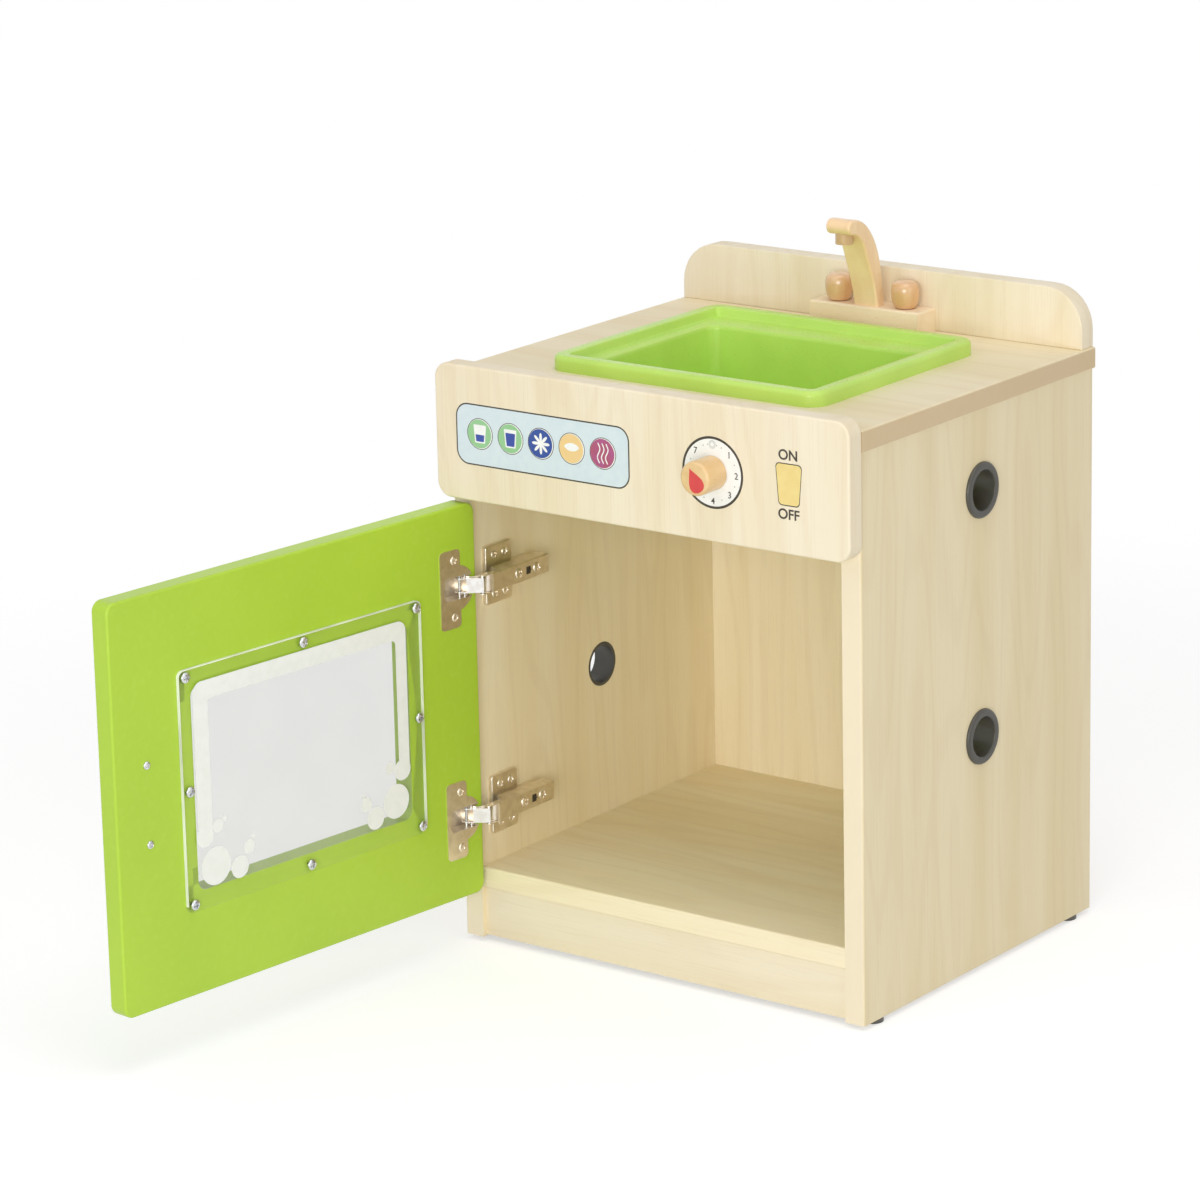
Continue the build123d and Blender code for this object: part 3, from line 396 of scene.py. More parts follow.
@dataclass(frozen=True)
class CastAcrylic(Finish):
    """Cast acrylic sheet, also used for a painted edge highlight and a painted shade film.

    The eye gets a clear pane with a faint veil that thickens edge on, a sharp reflection and a few
    hairline scratches in the gloss.
    """

    tint: str = "#C9CCC2"
    veil: float = 0.02
    grazing: float = 0.08
    cloud: str = "#BFC2B8"

    def shade(self, tree: bpy.types.NodeTree, shader: bpy.types.Node) -> None:
        """Write a veil that thickens at grazing angles, and hairlines 0.5 mm wide, 25 mm long.

        Real hairlines are far finer, so they are drawn as coarse as they need to be to show.

        Args:
            tree: the material's node tree.
            shader: its Principled BSDF.
        """
        space = add(tree, "TexCoord").outputs["Object"]
        hairs = stretched(tree, space, 0.5, 25, 1)
        limits = {"From Min": 0.68, "From Max": 0.8, "To Min": 0.02, "To Max": 0.14}
        scratched = add(tree, "MapRange", {"Value": hairs}, limits)
        tree.links.new(scratched.outputs[0], shader.inputs["Roughness"])
        # Acrylic reflects more and shows less of what is behind it as it is seen edge on
        facing = add(tree, "Fresnel", values={"IOR": 1.49}).outputs[0]
        limits = {"From Min": 0.04, "From Max": 0.5, "To Min": self.veil, "To Max": self.grazing}
        cover = add(tree, "MapRange", {"Value": facing}, limits)
        tree.links.new(cover.outputs[0], shader.inputs["Alpha"])
        cloud = stretched(tree, space, 40, 40, 1)
        tone = blended(tree, cloud, (0.3, 0.7), 0.5, linear(self.tint), linear(self.cloud))
        tree.links.new(tone, shader.inputs["Base Color"])
        shader.inputs["IOR"].default_value = 1.49


@dataclass(frozen=True)
class PlatedSteel(Finish):
    """Pressed steel under bright nickel or zinc.

    The eye gets a warm or cool mirror, softened by the sheet's rolled surface, with cloudy
    patches of thinner plating and fine handling scratches.
    """

    bright: str = "#D9D2C6"
    dull: str = "#B9AE9C"
    roughness: float = 0.2

    def shade(self, tree: bpy.types.NodeTree, shader: bpy.types.Node) -> None:
        """Write clouds 7 mm wide and rolling marks 0.3 mm wide, coarser than real ones, 6 mm long.

        Args:
            tree: the material's node tree.
            shader: its Principled BSDF.
        """
        space = add(tree, "TexCoord").outputs["Object"]
        cloud = stretched(tree, space, 7, 7, 2)
        rolled = stretched(tree, space, 0.3, 6, 2)
        tone = blended(tree, cloud, (0.35, 0.7), 0.7, linear(self.bright), linear(self.dull))
        tree.links.new(tone, shader.inputs["Base Color"])
        gloss = {"From Min": 0.3, "From Max": 0.7, "To Min": self.roughness, "To Max": self.roughness + 0.14}
        worn = add(tree, "MapRange", {"Value": rolled}, gloss)
        tree.links.new(worn.outputs[0], shader.inputs["Roughness"])
        relief = add(tree, "Bump", {"Height": rolled}, {"Strength": 0.06, "Distance": 0.02 * MM})
        tree.links.new(relief.outputs[0], shader.inputs["Normal"])
        shader.inputs["Metallic"].default_value = 1.0


@dataclass(frozen=True)
class ScreenInk(Finish):
    """Screen-printed ink under a thin satin film.

    The eye gets a crisp flat tint with a slight unevenness from the mesh, a little glossier than
    the board round it.
    """

    colour: str = "#FFFFFF"
    thin: str = "#F4F4F4"
    roughness: float = 0.35

    def shade(self, tree: bpy.types.NodeTree, shader: bpy.types.Node) -> None:
        """Write mesh marks 0.8 mm wide, coarser than a real screen's, and blotches 9 mm wide.

        Args:
            tree: the material's node tree.
            shader: its Principled BSDF.
        """
        space = add(tree, "TexCoord").outputs["Object"]
        blotch = stretched(tree, space, 9, 9, 2)
        mesh = stretched(tree, space, 0.8, 0.8, 1)
        tone = blended(tree, blotch, (0.35, 0.7), 0.6, linear(self.colour), linear(self.thin))
        tone = blended(tree, mesh, (0.5, 0.8), 0.3, tone, linear(self.thin))
        tree.links.new(tone, shader.inputs["Base Color"])
        shader.inputs["Roughness"].default_value = self.roughness
        shader.inputs["IOR"].default_value = 1.5


@dataclass
class Skin:
    """A closed surface as arrays of points, four-sided faces and triangles."""

    points: np.ndarray
    quads: np.ndarray
    triangles: np.ndarray

    @classmethod
    def over(
        cls, rings: np.ndarray, start: np.ndarray | None = None, end: np.ndarray | None = None
    ) -> "Skin":
        """Close a surface over a row of closed rings.

        Point (i, j) is joined to (i + 1, j) and (i, j + 1), and j runs round. With a start and an
        end point the first and last rings close to those poles; without, the last ring joins the
        first, as on a picture frame.

        Args:
            rings: points as rows, columns and x, y, z.
            start: pole before the first ring.
            end: pole after the last ring.
        Returns:
            The surface, with its faces outwards.
        """
        rows, columns, _ = rings.shape
        number = np.arange(rows * columns).reshape(rows, columns)
        beside = np.roll(number, -1, axis=1)
        points = rings.reshape(-1, 3)
        if start is None:
            ahead, ahead_beside = np.roll(number, -1, axis=0), np.roll(beside, -1, axis=0)
            quads = np.stack([number, beside, ahead_beside, ahead], axis=-1).reshape(-1, 4)
            triangles = np.zeros((0, 3), int)
        else:
            quads = np.stack([number[:-1], beside[:-1], beside[1:], number[1:]], axis=-1).reshape(-1, 4)
            poles = np.full(columns, rows * columns)
            first = np.stack([beside[0], number[0], poles], axis=-1)
            last = np.stack([number[-1], beside[-1], poles + 1], axis=-1)
            triangles = np.concatenate([first, last])
            points = np.concatenate([points, [start], [end]])
        skin = cls(points, quads, triangles)
        if skin.volume() < 0:
            skin.quads, skin.triangles = skin.quads[:, ::-1], skin.triangles[:, ::-1]
        return skin

    def volume(self) -> float:
        """Signed volume: a sixth of each triangle's triple product, summed.

        Returns:
            The volume, which is negative where the faces point inwards.
        """
        halves = [self.quads[:, [0, 1, 2]], self.quads[:, [0, 2, 3]], self.triangles]
        corners = self.points[np.concatenate(halves)]
        cross = np.cross(corners[:, 1], corners[:, 2])
        return float((corners[:, 0] * cross).sum() / 6)

    @classmethod
    def joined(cls, skins: list["Skin"]) -> "Skin":
        """Gather several surfaces into one.

        Args:
            skins: the surfaces.
        Returns:
            One surface with all their points and faces.
        """
        starts = np.cumsum([0] + [len(skin.points) for skin in skins[:-1]])
        return cls(
            np.concatenate([skin.points for skin in skins]),
            np.concatenate([skin.quads + start for skin, start in zip(skins, starts)]),
            np.concatenate([skin.triangles + start for skin, start in zip(skins, starts)]),
        )

    def piece(self, name: str, finish: Finish, body: str, crease: float = 35.0) -> bpy.types.Object:
        """Make the Blender object.

        Args:
            name: the piece's name.
            finish: what its surface is.
            body: the body it moves with.
            crease: angle in degrees past which an edge stays sharp.
        Returns:
            The object, riding on its body.
        """
        mesh = bpy.data.meshes.new(name)
        mesh.from_pydata(self.points.tolist(), [], self.quads.tolist() + self.triangles.tolist())
        mesh.update()
        mesh.shade_smooth()
        mesh.set_sharp_from_angle(angle=radians(crease))
        return mounted(mesh, name, finish, body)


def mounted(mesh: bpy.types.Mesh, name: str, finish: Finish, body: str) -> bpy.types.Object:
    """Put a mesh into the scene as a piece.

    Args:
        mesh: its mesh, in place.
        name: the piece's name.
        finish: what its surface is.
        body: the body it moves with.
    Returns:
        The object.
    """
    made = bpy.data.objects.new(name, mesh)
    bpy.context.scene.collection.objects.link(made)
    mesh.materials.append(finish.material())
    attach(made, body)
    LOG.info("%s rides on %s", name, body)
    return made


@dataclass
class Sheet:
    """A flat place that prints and screws are set on, measured in millimetres."""

    origin: np.ndarray
    along: np.ndarray
    up: np.ndarray
    out: np.ndarray

    @classmethod
    def facing_front(cls, x: float, y: float, z: float) -> "Sheet":
        """Upright sheet that faces the front.

        Args:
            x: its origin from left to right, in metres.
            y: its origin from front to back.
            z: height of its origin.
        Returns:
            The sheet, with its first number to the right and its second upwards.
        """
        return cls(np.array([x, y, z]), np.array([1.0, 0, 0]), np.array([0, 0, 1.0]), np.array([0, -1.0, 0]))

    def lift(self, outline: np.ndarray, height: float | np.ndarray) -> np.ndarray:
        """Bring flat points into the part's frame.

        Each point is the origin plus its two numbers along the sheet and the height off it.

        Args:
            outline: points on the sheet, as rows of two.
            height: how far off the sheet they stand, one for all or one for each.
        Returns:
            The points in metres.
        """
        flat = outline[..., :1] * self.along + outline[..., 1:2] * self.up
        return self.origin + (flat + height * self.out) * MM

    def film(self, outline: np.ndarray, low: float, high: float) -> Skin:
        """Thin plate with this outline: bottom rim, top rim and a pole in the middle of each face.

        Args:
            outline: closed outline that its middle can see all of.
            low: height of its underside.
            high: height of its face.
        Returns:
            The plate.
        """
        middle = outline.mean(axis=0)
        rings = np.stack([self.lift(outline, low), self.lift(outline, high)])
        return Skin.over(rings, self.lift(middle, low), self.lift(middle, high))

    def border(self, outer: np.ndarray, inner: np.ndarray, low: float, high: float) -> Skin:
        """Thin frame between two outlines: outer rim up, inner rim down, joined round.

        Args:
            outer: outer outline.
            inner: inner outline, with as many points.
            low: height of its underside.
            high: height of its face.
        Returns:
            The frame.
        """
        walls = [(outer, low), (outer, high), (inner, high), (inner, low)]
        return Skin.over(np.stack([self.lift(line, height) for line, height in walls]))

    def plate(self, corners: np.ndarray, radii: np.ndarray, span: tuple[float, float], ease: float) -> Skin:
        """Thick plate whose edge is an eased profile carried round its outline.

        Each ring is the outline drawn in by the profile's inset, which is the ease taken off at
        both faces along a quarter circle.

        Args:
            corners: its corners in order.
            radii: radius of each corner.
            span: heights of its underside and its face.
            ease: radius of its rims.
        Returns:
            The plate.
        """
        middle = corners.mean(axis=0)
        inward = np.sign(middle - corners)
        turn = np.linspace(0, pi / 2, 5)
        inset = ease * (1 - np.cos(turn))
        rise = ease * (1 - np.sin(turn))
        insets = np.concatenate([inset[::-1], inset])
        heights = np.concatenate([span[0] + rise[::-1], span[1] - rise])
        rings = []
        for step, height in zip(insets, heights):
            outline = rounded(corners + inward * step, np.maximum(radii - step, LEAST_RADIUS))
            rings.append(self.lift(outline, height))
        return Skin.over(np.stack(rings), self.lift(middle, span[0]), self.lift(middle, span[1]))

    def strip(self, left: np.ndarray, right: np.ndarray, low: float, high: float) -> Skin:
        """Thin strip between two lines that run side by side.

        Args:
            left: one edge.
            right: the other edge, with as many points.
            low: height of its underside.
            high: height of its face.
        Returns:
            The strip.
        """
        corners = [(left, low), (right, low), (right, high), (left, high)]
        rings = np.stack([self.lift(line, height) for line, height in corners], axis=1)
        return Skin.over(rings, rings[0].mean(axis=0), rings[-1].mean(axis=0))

    def ribbon(self, path: np.ndarray, width: float, low: float, high: float) -> Skin:
        """Thin strip along a path: a flat rectangle carried square to the path's direction.

        Args:
            path: its middle line.
            width: how wide it is.
            low: height of its underside.
            high: height of its face.
        Returns:
            The strip.
        """
        heading = np.gradient(path, axis=0)
        heading /= np.linalg.norm(heading, axis=1, keepdims=True)
        side = np.stack([-heading[:, 1], heading[:, 0]], axis=1) * width / 2
        return self.strip(path - side, path + side, low, high)

    def lettering(
        self,
        name: str,
        text: str,
        middle: tuple[float, float],
        height: float,
        ink: Finish,
        body: str,
        stroke: float = 0.0,
    ) -> bpy.types.Object:
        """Print a short word or number, centred on a point.

        Args:
            name: the piece's name.
            text: what it says.
            middle: centre of the text on the sheet.
            height: height of its letters.
            ink: what it is printed with.
            body: the body it moves with.
            stroke: how much bolder than the plain letters, as a share of their size.
        Returns:
            The printed piece.
        """
        curve = bpy.data.curves.new(name, "FONT")
        curve.body = text
        # Any thickness will do, because both faces get their heights below
        curve.extrude = 0.004
        curve.offset = stroke
        draft = bpy.data.objects.new(name + "_draft", curve)
        mesh = bpy.data.meshes.new_from_object(draft)
        bpy.data.objects.remove(draft)
        corners = np.zeros(len(mesh.vertices) * 3)
        mesh.vertices.foreach_get("co", corners)
        corners = corners.reshape(-1, 3)
        low, high = corners.min(axis=0), corners.max(axis=0)
        fitted = (corners - (low + high) / 2)[:, :2] * height / (high[1] - low[1]) + np.array(middle)
        raised = np.where(corners[:, 2:] > 0, PRINT_TOP, PRINT_FOOT) * self.out * MM
        mesh.vertices.foreach_set("co", (self.lift(fitted, 0) + raised).ravel())
        mesh.materials.clear()
        mesh.update()
        return mounted(mesh, name, ink, body)


def circle(middle: tuple[float, float], radius: float, points: int = 72) -> np.ndarray:
    """Circle: the middle plus the radius times the cosine and sine of the angle.

    Args:
        middle: its middle.
        radius: its radius.
        points: how many points it has.
    Returns:
        The outline.
    """
    angle = np.linspace(0, 2 * pi, points, endpoint=False)
    return np.array(middle) + radius * np.stack([np.cos(angle), np.sin(angle)], axis=1)


def rounded(corners: np.ndarray, radius: float | np.ndarray, points: int = 9) -> np.ndarray:
    """Outline with round corners.

    Each corner becomes a rational quadratic curve between the two places where an arc of the
    radius would touch the sides, weighted by the cosine of half the turn, which is that arc.

    Args:
        corners: the corners in order.
        radius: radius of the arcs, one for all or one for each corner.
        points: how many points each arc has.
    Returns:
        The outline.
    """
    before, after = np.roll(corners, 1, axis=0) - corners, np.roll(corners, -1, axis=0) - corners
    before /= np.linalg.norm(before, axis=1, keepdims=True)
    after /= np.linalg.norm(after, axis=1, keepdims=True)
    half_turn = (pi - np.arccos((before * after).sum(axis=1))) / 2
    reach = (radius * np.tan(half_turn))[:, None, None]
    weight = np.cos(half_turn)[:, None, None]
    share = np.linspace(0, 1, points)[None, :, None]
    first = corners[:, None] + before[:, None] * reach
    last = corners[:, None] + after[:, None] * reach
    parts = [(1 - share) ** 2, 2 * weight * share * (1 - share), share**2]
    curve = parts[0] * first + parts[1] * corners[:, None] + parts[2] * last
    return (curve / (parts[0] + parts[1] + parts[2])).reshape(-1, 2)


def box_corners(low: tuple[float, float], high: tuple[float, float]) -> np.ndarray:
    """Corners of an upright rectangle, anticlockwise from the low one."""
    return np.array([low, (high[0], low[1]), high, (low[0], high[1])], float)


def tapered(half_foot: float, half_top: float, foot: float, top: float) -> np.ndarray:
    """Corners of an upright shape that is wider at one end than at the other.

    Args:
        half_foot: half its width at the foot.
        half_top: half its width at the top.
        foot: height of its foot.
        top: height of its top.
    Returns:
        Four corners, anticlockwise from the low left one.
    """
    return np.array([(-half_foot, foot), (half_foot, foot), (half_top, top), (-half_top, top)])


def lathe(sheet: Sheet, radii: np.ndarray, heights: np.ndarray, around: int = 96) -> Skin:
    """Turned form: a profile of radii and heights carried round an axis square to the sheet.

    Args:
        sheet: the sheet it stands on, with the axis through its origin.
        radii: distances from the axis, end to end.
        heights: heights off the sheet, end to end.
        around: points round the axis.
    Returns:
        The form, closed at both ends.
    """
    axis = np.zeros(2)
    rings = sheet.lift(radii[:, None, None] * circle((0, 0), 1, around), heights[:, None, None])
    return Skin.over(rings, sheet.lift(axis, heights[0]), sheet.lift(axis, heights[-1]))


@dataclass
class Screw:
    """A pan-head screw: a domed head with a pressed cross, on a shank with a point."""

    head_radius: float = 3.4
    head_height: float = 1.8
    shank_radius: float = 1.6
    length: float = 10.0
    cross_reach: float = 2.0
    cross_depth: float = 1.0
    cross_arms: int = 4
    cross_half_width: float = 0.6
    cross_wall: float = 0.15
    cross_end: float = 0.35
    rim_share: float = 0.25
    dome_power: float = 2.6
    tip_length: float = 2.5
    tip_radius: float = 0.3
    first_turn: float = 25.0
    next_turn: float = 47.0
    hub_share: float = 0.04
    row_power: float = 0.8
    rows: int = 26
    around: int = 72

    def skin(self, sheet: Sheet, middle: tuple[float, float], seat: float, turn: float) -> Skin:
        """Work out one screw's surface.

        The head's height is a flattened dome of the distance from the axis, over a straight rim.
        The cross is taken from it: full depth within the half width of the nearest arm, easing
        out over its wall and where the arm ends.

        Args:
            sheet: the sheet it is driven into.
            middle: where it is on the sheet.
            seat: height of the underside of its head.
            turn: how far its cross is turned, in degrees.
        Returns:
            The screw.
        """
        angle = np.linspace(0, 2 * pi, self.around, endpoint=False)[None]
        share = np.linspace(self.hub_share, 1, self.rows)[:, None] ** self.row_power
        radius = share * self.head_radius
        bulge = np.sqrt(np.clip(1 - share**self.dome_power, 0, 1))
        sector = 2 * pi / self.cross_arms
        off_arm = np.mod(angle - radians(turn) + sector / 2, sector) - sector / 2
        sideways = np.abs(radius * np.sin(off_arm))
        beside = np.clip((self.cross_half_width + self.cross_wall - sideways) / self.cross_wall, 0, 1)
        within = np.clip((self.cross_reach - radius) / self.cross_end, 0, 1)
        head = seat + self.head_height * (self.rim_share + (1 - self.rim_share) * bulge)
        head = head - self.cross_depth * beside * within
        end = seat - self.length
        shank = np.array(
            [
                (self.head_radius, seat),
                (self.shank_radius, seat),
                (self.shank_radius, end + self.tip_length),
                (self.tip_radius, end),
            ]
        )
        whole_turn = np.ones((1, self.around))
        radii = np.concatenate([radius * whole_turn, shank[:, :1] * whole_turn])
        heights = np.concatenate([head, shank[:, 1:] * whole_turn])
        flat = np.stack([radii * np.cos(angle), radii * np.sin(angle)], axis=-1) + np.array(middle)
        rings = sheet.lift(flat, heights[..., None])
        return Skin.over(rings, rings[0].mean(axis=0), rings[-1].mean(axis=0))

    def set_of(
        self,
        name: str,
        sheet: Sheet,
        places: list[tuple[float, float]],
        seat: float,
        finish: Finish,
        body: str,
        node: str,
    ) -> None:
        """Drive a set of screws and let them stand for the plain ones.

        Args:
            name: the piece's name.
            sheet: the sheet they are driven into.
            places: where they are on it.
            seat: height of the underside of their heads.
            finish: their plating.
            body: the body they move with.
            node: the node they stand for.
        """
        turns = [self.first_turn + self.next_turn * number for number in range(len(places))]
        skins = [self.skin(sheet, place, seat, turn) for place, turn in zip(places, turns)]
        made = Skin.joined(skins).piece(name, finish, body)
        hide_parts(node)


def dress(finish: Finish, *nodes: str) -> None:
    """Give CAD nodes a finish.

    Args:
        finish: what their surface is.
        nodes: names of the nodes.
    """
    for node in nodes:
        mesh = frame["nodes"][node].data
        mesh.materials.clear()
        mesh.materials.append(finish.material())
        LOG.info("%s is %s", node, finish.name)


NICKEL = PlatedSteel("nickel_plated_steel", "#F3E9DA", "#E0D5C2", 0.28)
BRIGHT_NICKEL = PlatedSteel("bright_nickel_link", "#ECEAE6", "#D9D4CB", 0.1)
ZINC = PlatedSteel("zinc_plated_screw_steel", "#DADCDD", "#B9BDC0", 0.16)
DULL_ZINC = PlatedSteel("die_cast_zinc", "#BFC0BC", "#A2A39E", 0.34)


@dataclass
class Carcass:
    """Boards, fittings, grommets and glides of the cupboard."""

    splash_half_width: float = 200.0
    splash_corner: float = 35.0
    square_corner: float = 0.8
    board_ease: float = 1.0

    def cut_splash(self, finish: Finish) -> None:
        """Cut the splash board, which runs from side to side behind the tap.

        Args:
            finish: what its surface is.
        """
        low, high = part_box("backsplash")
        face = Sheet.facing_front(0.0, high.y, low.z)
        tall, thick = (high.z - low.z) / MM, (high.y - low.y) / MM
        corners = box_corners((-self.splash_half_width, 0.0), (self.splash_half_width, tall))
        radii = np.array([self.square_corner, self.square_corner, self.splash_corner, self.splash_corner])
        plate = face.plate(corners, radii, (0.0, thick), self.board_ease)
        board = plate.piece("splash_board", finish, "carcass", crease=30.0)
        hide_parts("backsplash")

    def dress(self) -> None:
        """Face the boards with maple and finish the fittings."""
        # Painted light: the left side is a paler maple, to offset the shade on its inner face in the cupboard
        sides = (
            ("right", (0.11, 0.3, 0.2), "#EEE0BC", "#E5D2A4"),
            ("left", (0.71, 0.1, 0.5), "#FAECCA", "#F2DFB2"),
        )
        for side, place, pale, honey in sides:
            name = f"maple_side_{side}"
            maple = MapleBoard(name, Grain.UPRIGHT, place, pale, honey, edge="#F3E6CC", thin_axis=0)
            dress(maple, f"{side}_side_panel")
        top = MapleBoard("maple_worktop", Grain.ACROSS, (0.4, 0.2, 0.9), "#F1E3C2", "#E8D6AC", edge="#D0B68E")
        dress(top, "worktop")
        self.cut_splash(MapleBoard("maple_splash_board", Grain.UPRIGHT, (1.4, 0.6, 0.3)))
        dress(MapleBoard("maple_front_board", Grain.UPRIGHT, (2.1, 0.8, 0.7)), "control_panel")
        # Painted light: the shelf is a paler maple, to offset the shade inside the cupboard
        shelf = MapleBoard("maple_shelf", Grain.ACROSS, (1.0, 1.7, 0.1), "#FBEFD0", "#F3E0B6")
        dress(shelf, "bottom_shelf")
        dress(MapleBoard("maple_plinth", Grain.ACROSS, (0.2, 2.7, 1.1)), "kick_board", "rear_plinth")
        dress(MapleBoard("maple_rail", Grain.ACROSS, (0.9, 0.7, 2.1)), "front_top_rail", "rear_top_rail")
        # Painted light: the back is a paler maple, to offset the shade inside the cupboard
        back = MapleBoard("maple_back", Grain.UPRIGHT, (3.3, 0.2, 0.4), "#FDF0D0", "#F5E2B8")
        dress(back, "back_panel")
        dress(LacqueredWood("raw_beech_dowel", Grain.ACROSS, (0.1, 0, 0), gloss=0.0), "dowels")
        dress(DULL_ZINC, "cam_bolts", "cam_locks", "control_panel_screws", "tap_screws")
        grommet = MouldedPlastic("moulded_grommet_plastic", "#4C4A44", "#444239", 0.34, 0.7)
        grommets = [f"{side}_{level}_grommet" for side in ("left", "right") for level in ("upper", "lower")]
        dress(grommet, *grommets)
        dress(MouldedPlastic("nylon_glide_plastic", "#5A5852", "#504E48", 0.4, 0.9), "floor_glides")


@dataclass
class FrontBoard:
    """Prints on the front board, and the timer knob. Places are from the board's low left corner."""

    label_low: tuple[float, float] = (21.5, 30.5)
    label_high: tuple[float, float] = (195.5, 81.5)
    label_corner: float = 12.0
    label_line: float = 1.2
    sign_row: float = 57.2
    sign_places: tuple[float, ...] = (45.8, 76.9, 107.6, 138.5, 169.4)
    sign_radius: float = 13.0
    sign_line: float = 0.6
    sign_rim: float = 1.1
    sign_shift: float = 0.45
    glass_height: float = 15.0
    glass_half_top: float = 6.4
    glass_half_foot: float = 5.0
    glass_wall: float = 1.2
    glass_fills: tuple[float, float] = (0.45, 0.86)
    glass_corner: float = 0.8
    water_corner: float = 0.5
    star_hub: float = 2.6
    star_arm: float = 6.2
    star_power: float = 1.4
    dish_half_width: float = 7.4
    dish_half_height: float = 3.4
    dish_rise: float = 1.2
    wave_half_height: float = 8.2
    wave_spacing: float = 4.0
    wave_sway: float = 1.3
    wave_pace: float = 0.45
    wave_width: float = 1.0
    dial_middle: tuple[float, float] = (276.0, 56.0)
    dial_radius: float = 29.0
    dial_line: float = 2.0
    dial_steps: int = 32
    dot_radius: float = 0.4
    number_radius: float = 22.6
    number_height: float = 5.2
    number_stroke: float = 0.004
    ray_reach: tuple[float, float] = (1.6, 3.6)
    ray_half_widths: tuple[float, float] = (0.4, 0.7)
    ray_corner: float = 0.3
    switch_middle: tuple[float, float] = (348.0, 55.8)
    switch_half_top: float = 12.6
    switch_half_foot: float = 9.8
    switch_height: float = 34.0
    switch_corner: float = 3.6
    switch_line: float = 0.9
    word_height: float = 8.4
    word_stroke: float = 0.016
    on_middle: tuple[float, float] = (347.4, 79.4)
    off_middle: tuple[float, float] = (347.8, 32.3)
    knob_radius: float = 13.8
    knob_length: float = 24.5
    knob_rim: float = 2.6
    knob_chamfer: float = 0.4
    drop_width: float = 10.2
    drop_half_length: float = 10.4
    drop_power: float = 1.6
    drop_lean: float = 28.0
    drop_middle: tuple[float, float] = (0.5, -0.8)

    def __post_init__(self) -> None:
        """Find the board's face and set out the inks."""
        low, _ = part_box("control_panel")
        self.face = Sheet.facing_front(low.x, low.y, low.z)
        self.line = ScreenInk("dark_outline_ink", "#40382F", "#4B433A")
        self.white = ScreenInk("white_ink", "#FAFAF7", "#F1F1EC")

    def print_shape(self, name: str, outline: np.ndarray, ink: ScreenInk, top: float = PRINT_TOP) -> None:
        """Print one filled shape on the board.

        Args:
            name: the piece's name.
            outline: its outline.
            ink: what it is printed with.
            top: height of its face.
        """
        self.face.film(outline, PRINT_FOOT, top).piece(name, ink, "carcass")

    def print_line(self, name: str, outer: np.ndarray, inner: np.ndarray, top: float) -> None:
        """Print one closed dark line on the board.

        Args:
            name: the piece's name.
            outer: its outer outline.
            inner: its inner outline, with as many points.
            top: height of its face.
        """
        self.face.border(outer, inner, PRINT_FOOT, top).piece(name, self.line, "carcass")

    def print_label(self) -> None:
        """Print the pale blue label with its dark outline."""
        outer = rounded(box_corners(self.label_low, self.label_high), self.label_corner)
        inset = self.label_line
        low, high = np.array(self.label_low) + inset, np.array(self.label_high) - inset
        inner = rounded(box_corners(tuple(low), tuple(high)), self.label_corner - inset)
        blue = ScreenInk("pale_blue_ink", "#DBE7EB", "#D2E1E7")
        self.print_shape("label_ground", inner, blue, PRINT_BASE)
        self.print_line("label_outline", outer, inner, PRINT_BASE)

    def print_signs(self) -> None:
        """Print five discs: a half glass, a full glass, a star, a dish and three wavy lines."""
        grounds = ("#98CB91", "#98CB91", "#32509F", "#F2D08C", "#B05672")
        for number, (place, colour) in enumerate(zip(self.sign_places, grounds), 1):
            middle = (place, self.sign_row)
            # Where the ink is thin it keeps its red and green, with one blue for all five
            tint = ScreenInk(f"sign_ink_{colour[1:]}", colour, colour[:5] + "9A")
            outer = circle(middle, self.sign_radius)
            inner = circle(middle, self.sign_radius - self.sign_line)
            self.print_line(f"sign_{number}_outline", outer, inner, PRINT_LAYER)
            self.print_shape(f"sign_{number}_rim", inner, self.white, PRINT_RIM)
            ground = circle((place - self.sign_shift, self.sign_row), self.sign_radius - self.sign_rim)
            self.print_shape(f"sign_{number}_ground", ground, tint, PRINT_GROUND)
        for number, fill in enumerate(self.glass_fills, 1):
            self.print_glass(number, fill)
        self.print_star(3)
        self.print_dish(4)
        self.print_waves(5)

    def print_glass(self, number: int, fill: float) -> None:
        """Print a tumbler, seen from the side, filled to a share of its height.

        Args:
            number: which sign it is.
            fill: how full it is.
        """
        tall, wall = self.glass_height, self.glass_wall
        foot = np.array([self.sign_places[number - 1], self.sign_row - tall / 2])
        lean = (self.glass_half_top - self.glass_half_foot) / tall
        level = wall + (tall - 2 * wall) * fill
        wide = self.glass_half_foot + lean * level - wall
        narrow = self.glass_half_foot + lean * wall - wall
        glass = tapered(self.glass_half_foot, self.glass_half_top, 0, tall) + foot
        water = tapered(narrow, wide, wall, level) + foot
        self.print_shape(f"sign_{number}_glass", rounded(glass, self.glass_corner, 5), self.white)
        blue = ScreenInk("water_blue_ink", "#3A52A8", "#334A9C")
        self.print_shape(f"sign_{number}_water", rounded(water, self.water_corner, 5), blue, PRINT_FILLING)

    def print_star(self, number: int) -> None:
        """Print an eight-armed star: its radius swells with the cosine of four times the angle.

        Args:
            number: which sign it is.
        """
        angle = np.linspace(0, 2 * pi, 192, endpoint=False)
        radius = self.star_hub + self.star_arm * np.abs(np.cos(4 * angle)) ** self.star_power
        middle = np.array([self.sign_places[number - 1], self.sign_row])
        outline = middle + radius[:, None] * np.stack([np.cos(angle), np.sin(angle)], axis=1)
        self.print_shape(f"sign_{number}_star", outline, self.white)

    def print_dish(self, number: int) -> None:
        """Print a lidded dish: a low ellipse drawn to a point each side.

        Its width is the cosine of the angle, and its height the sine times the root of its size.

        Args:
            number: which sign it is.
        """
        angle = np.linspace(0, 2 * pi, 96, endpoint=False)
        middle = np.array([self.sign_places[number - 1], self.sign_row + self.dish_rise])
        across = self.dish_half_width * np.cos(angle)
        up = self.dish_half_height * np.sin(angle) * np.sqrt(np.abs(np.sin(angle)))
        self.print_shape(f"sign_{number}_dish", middle + np.stack([across, up], axis=1), self.white)

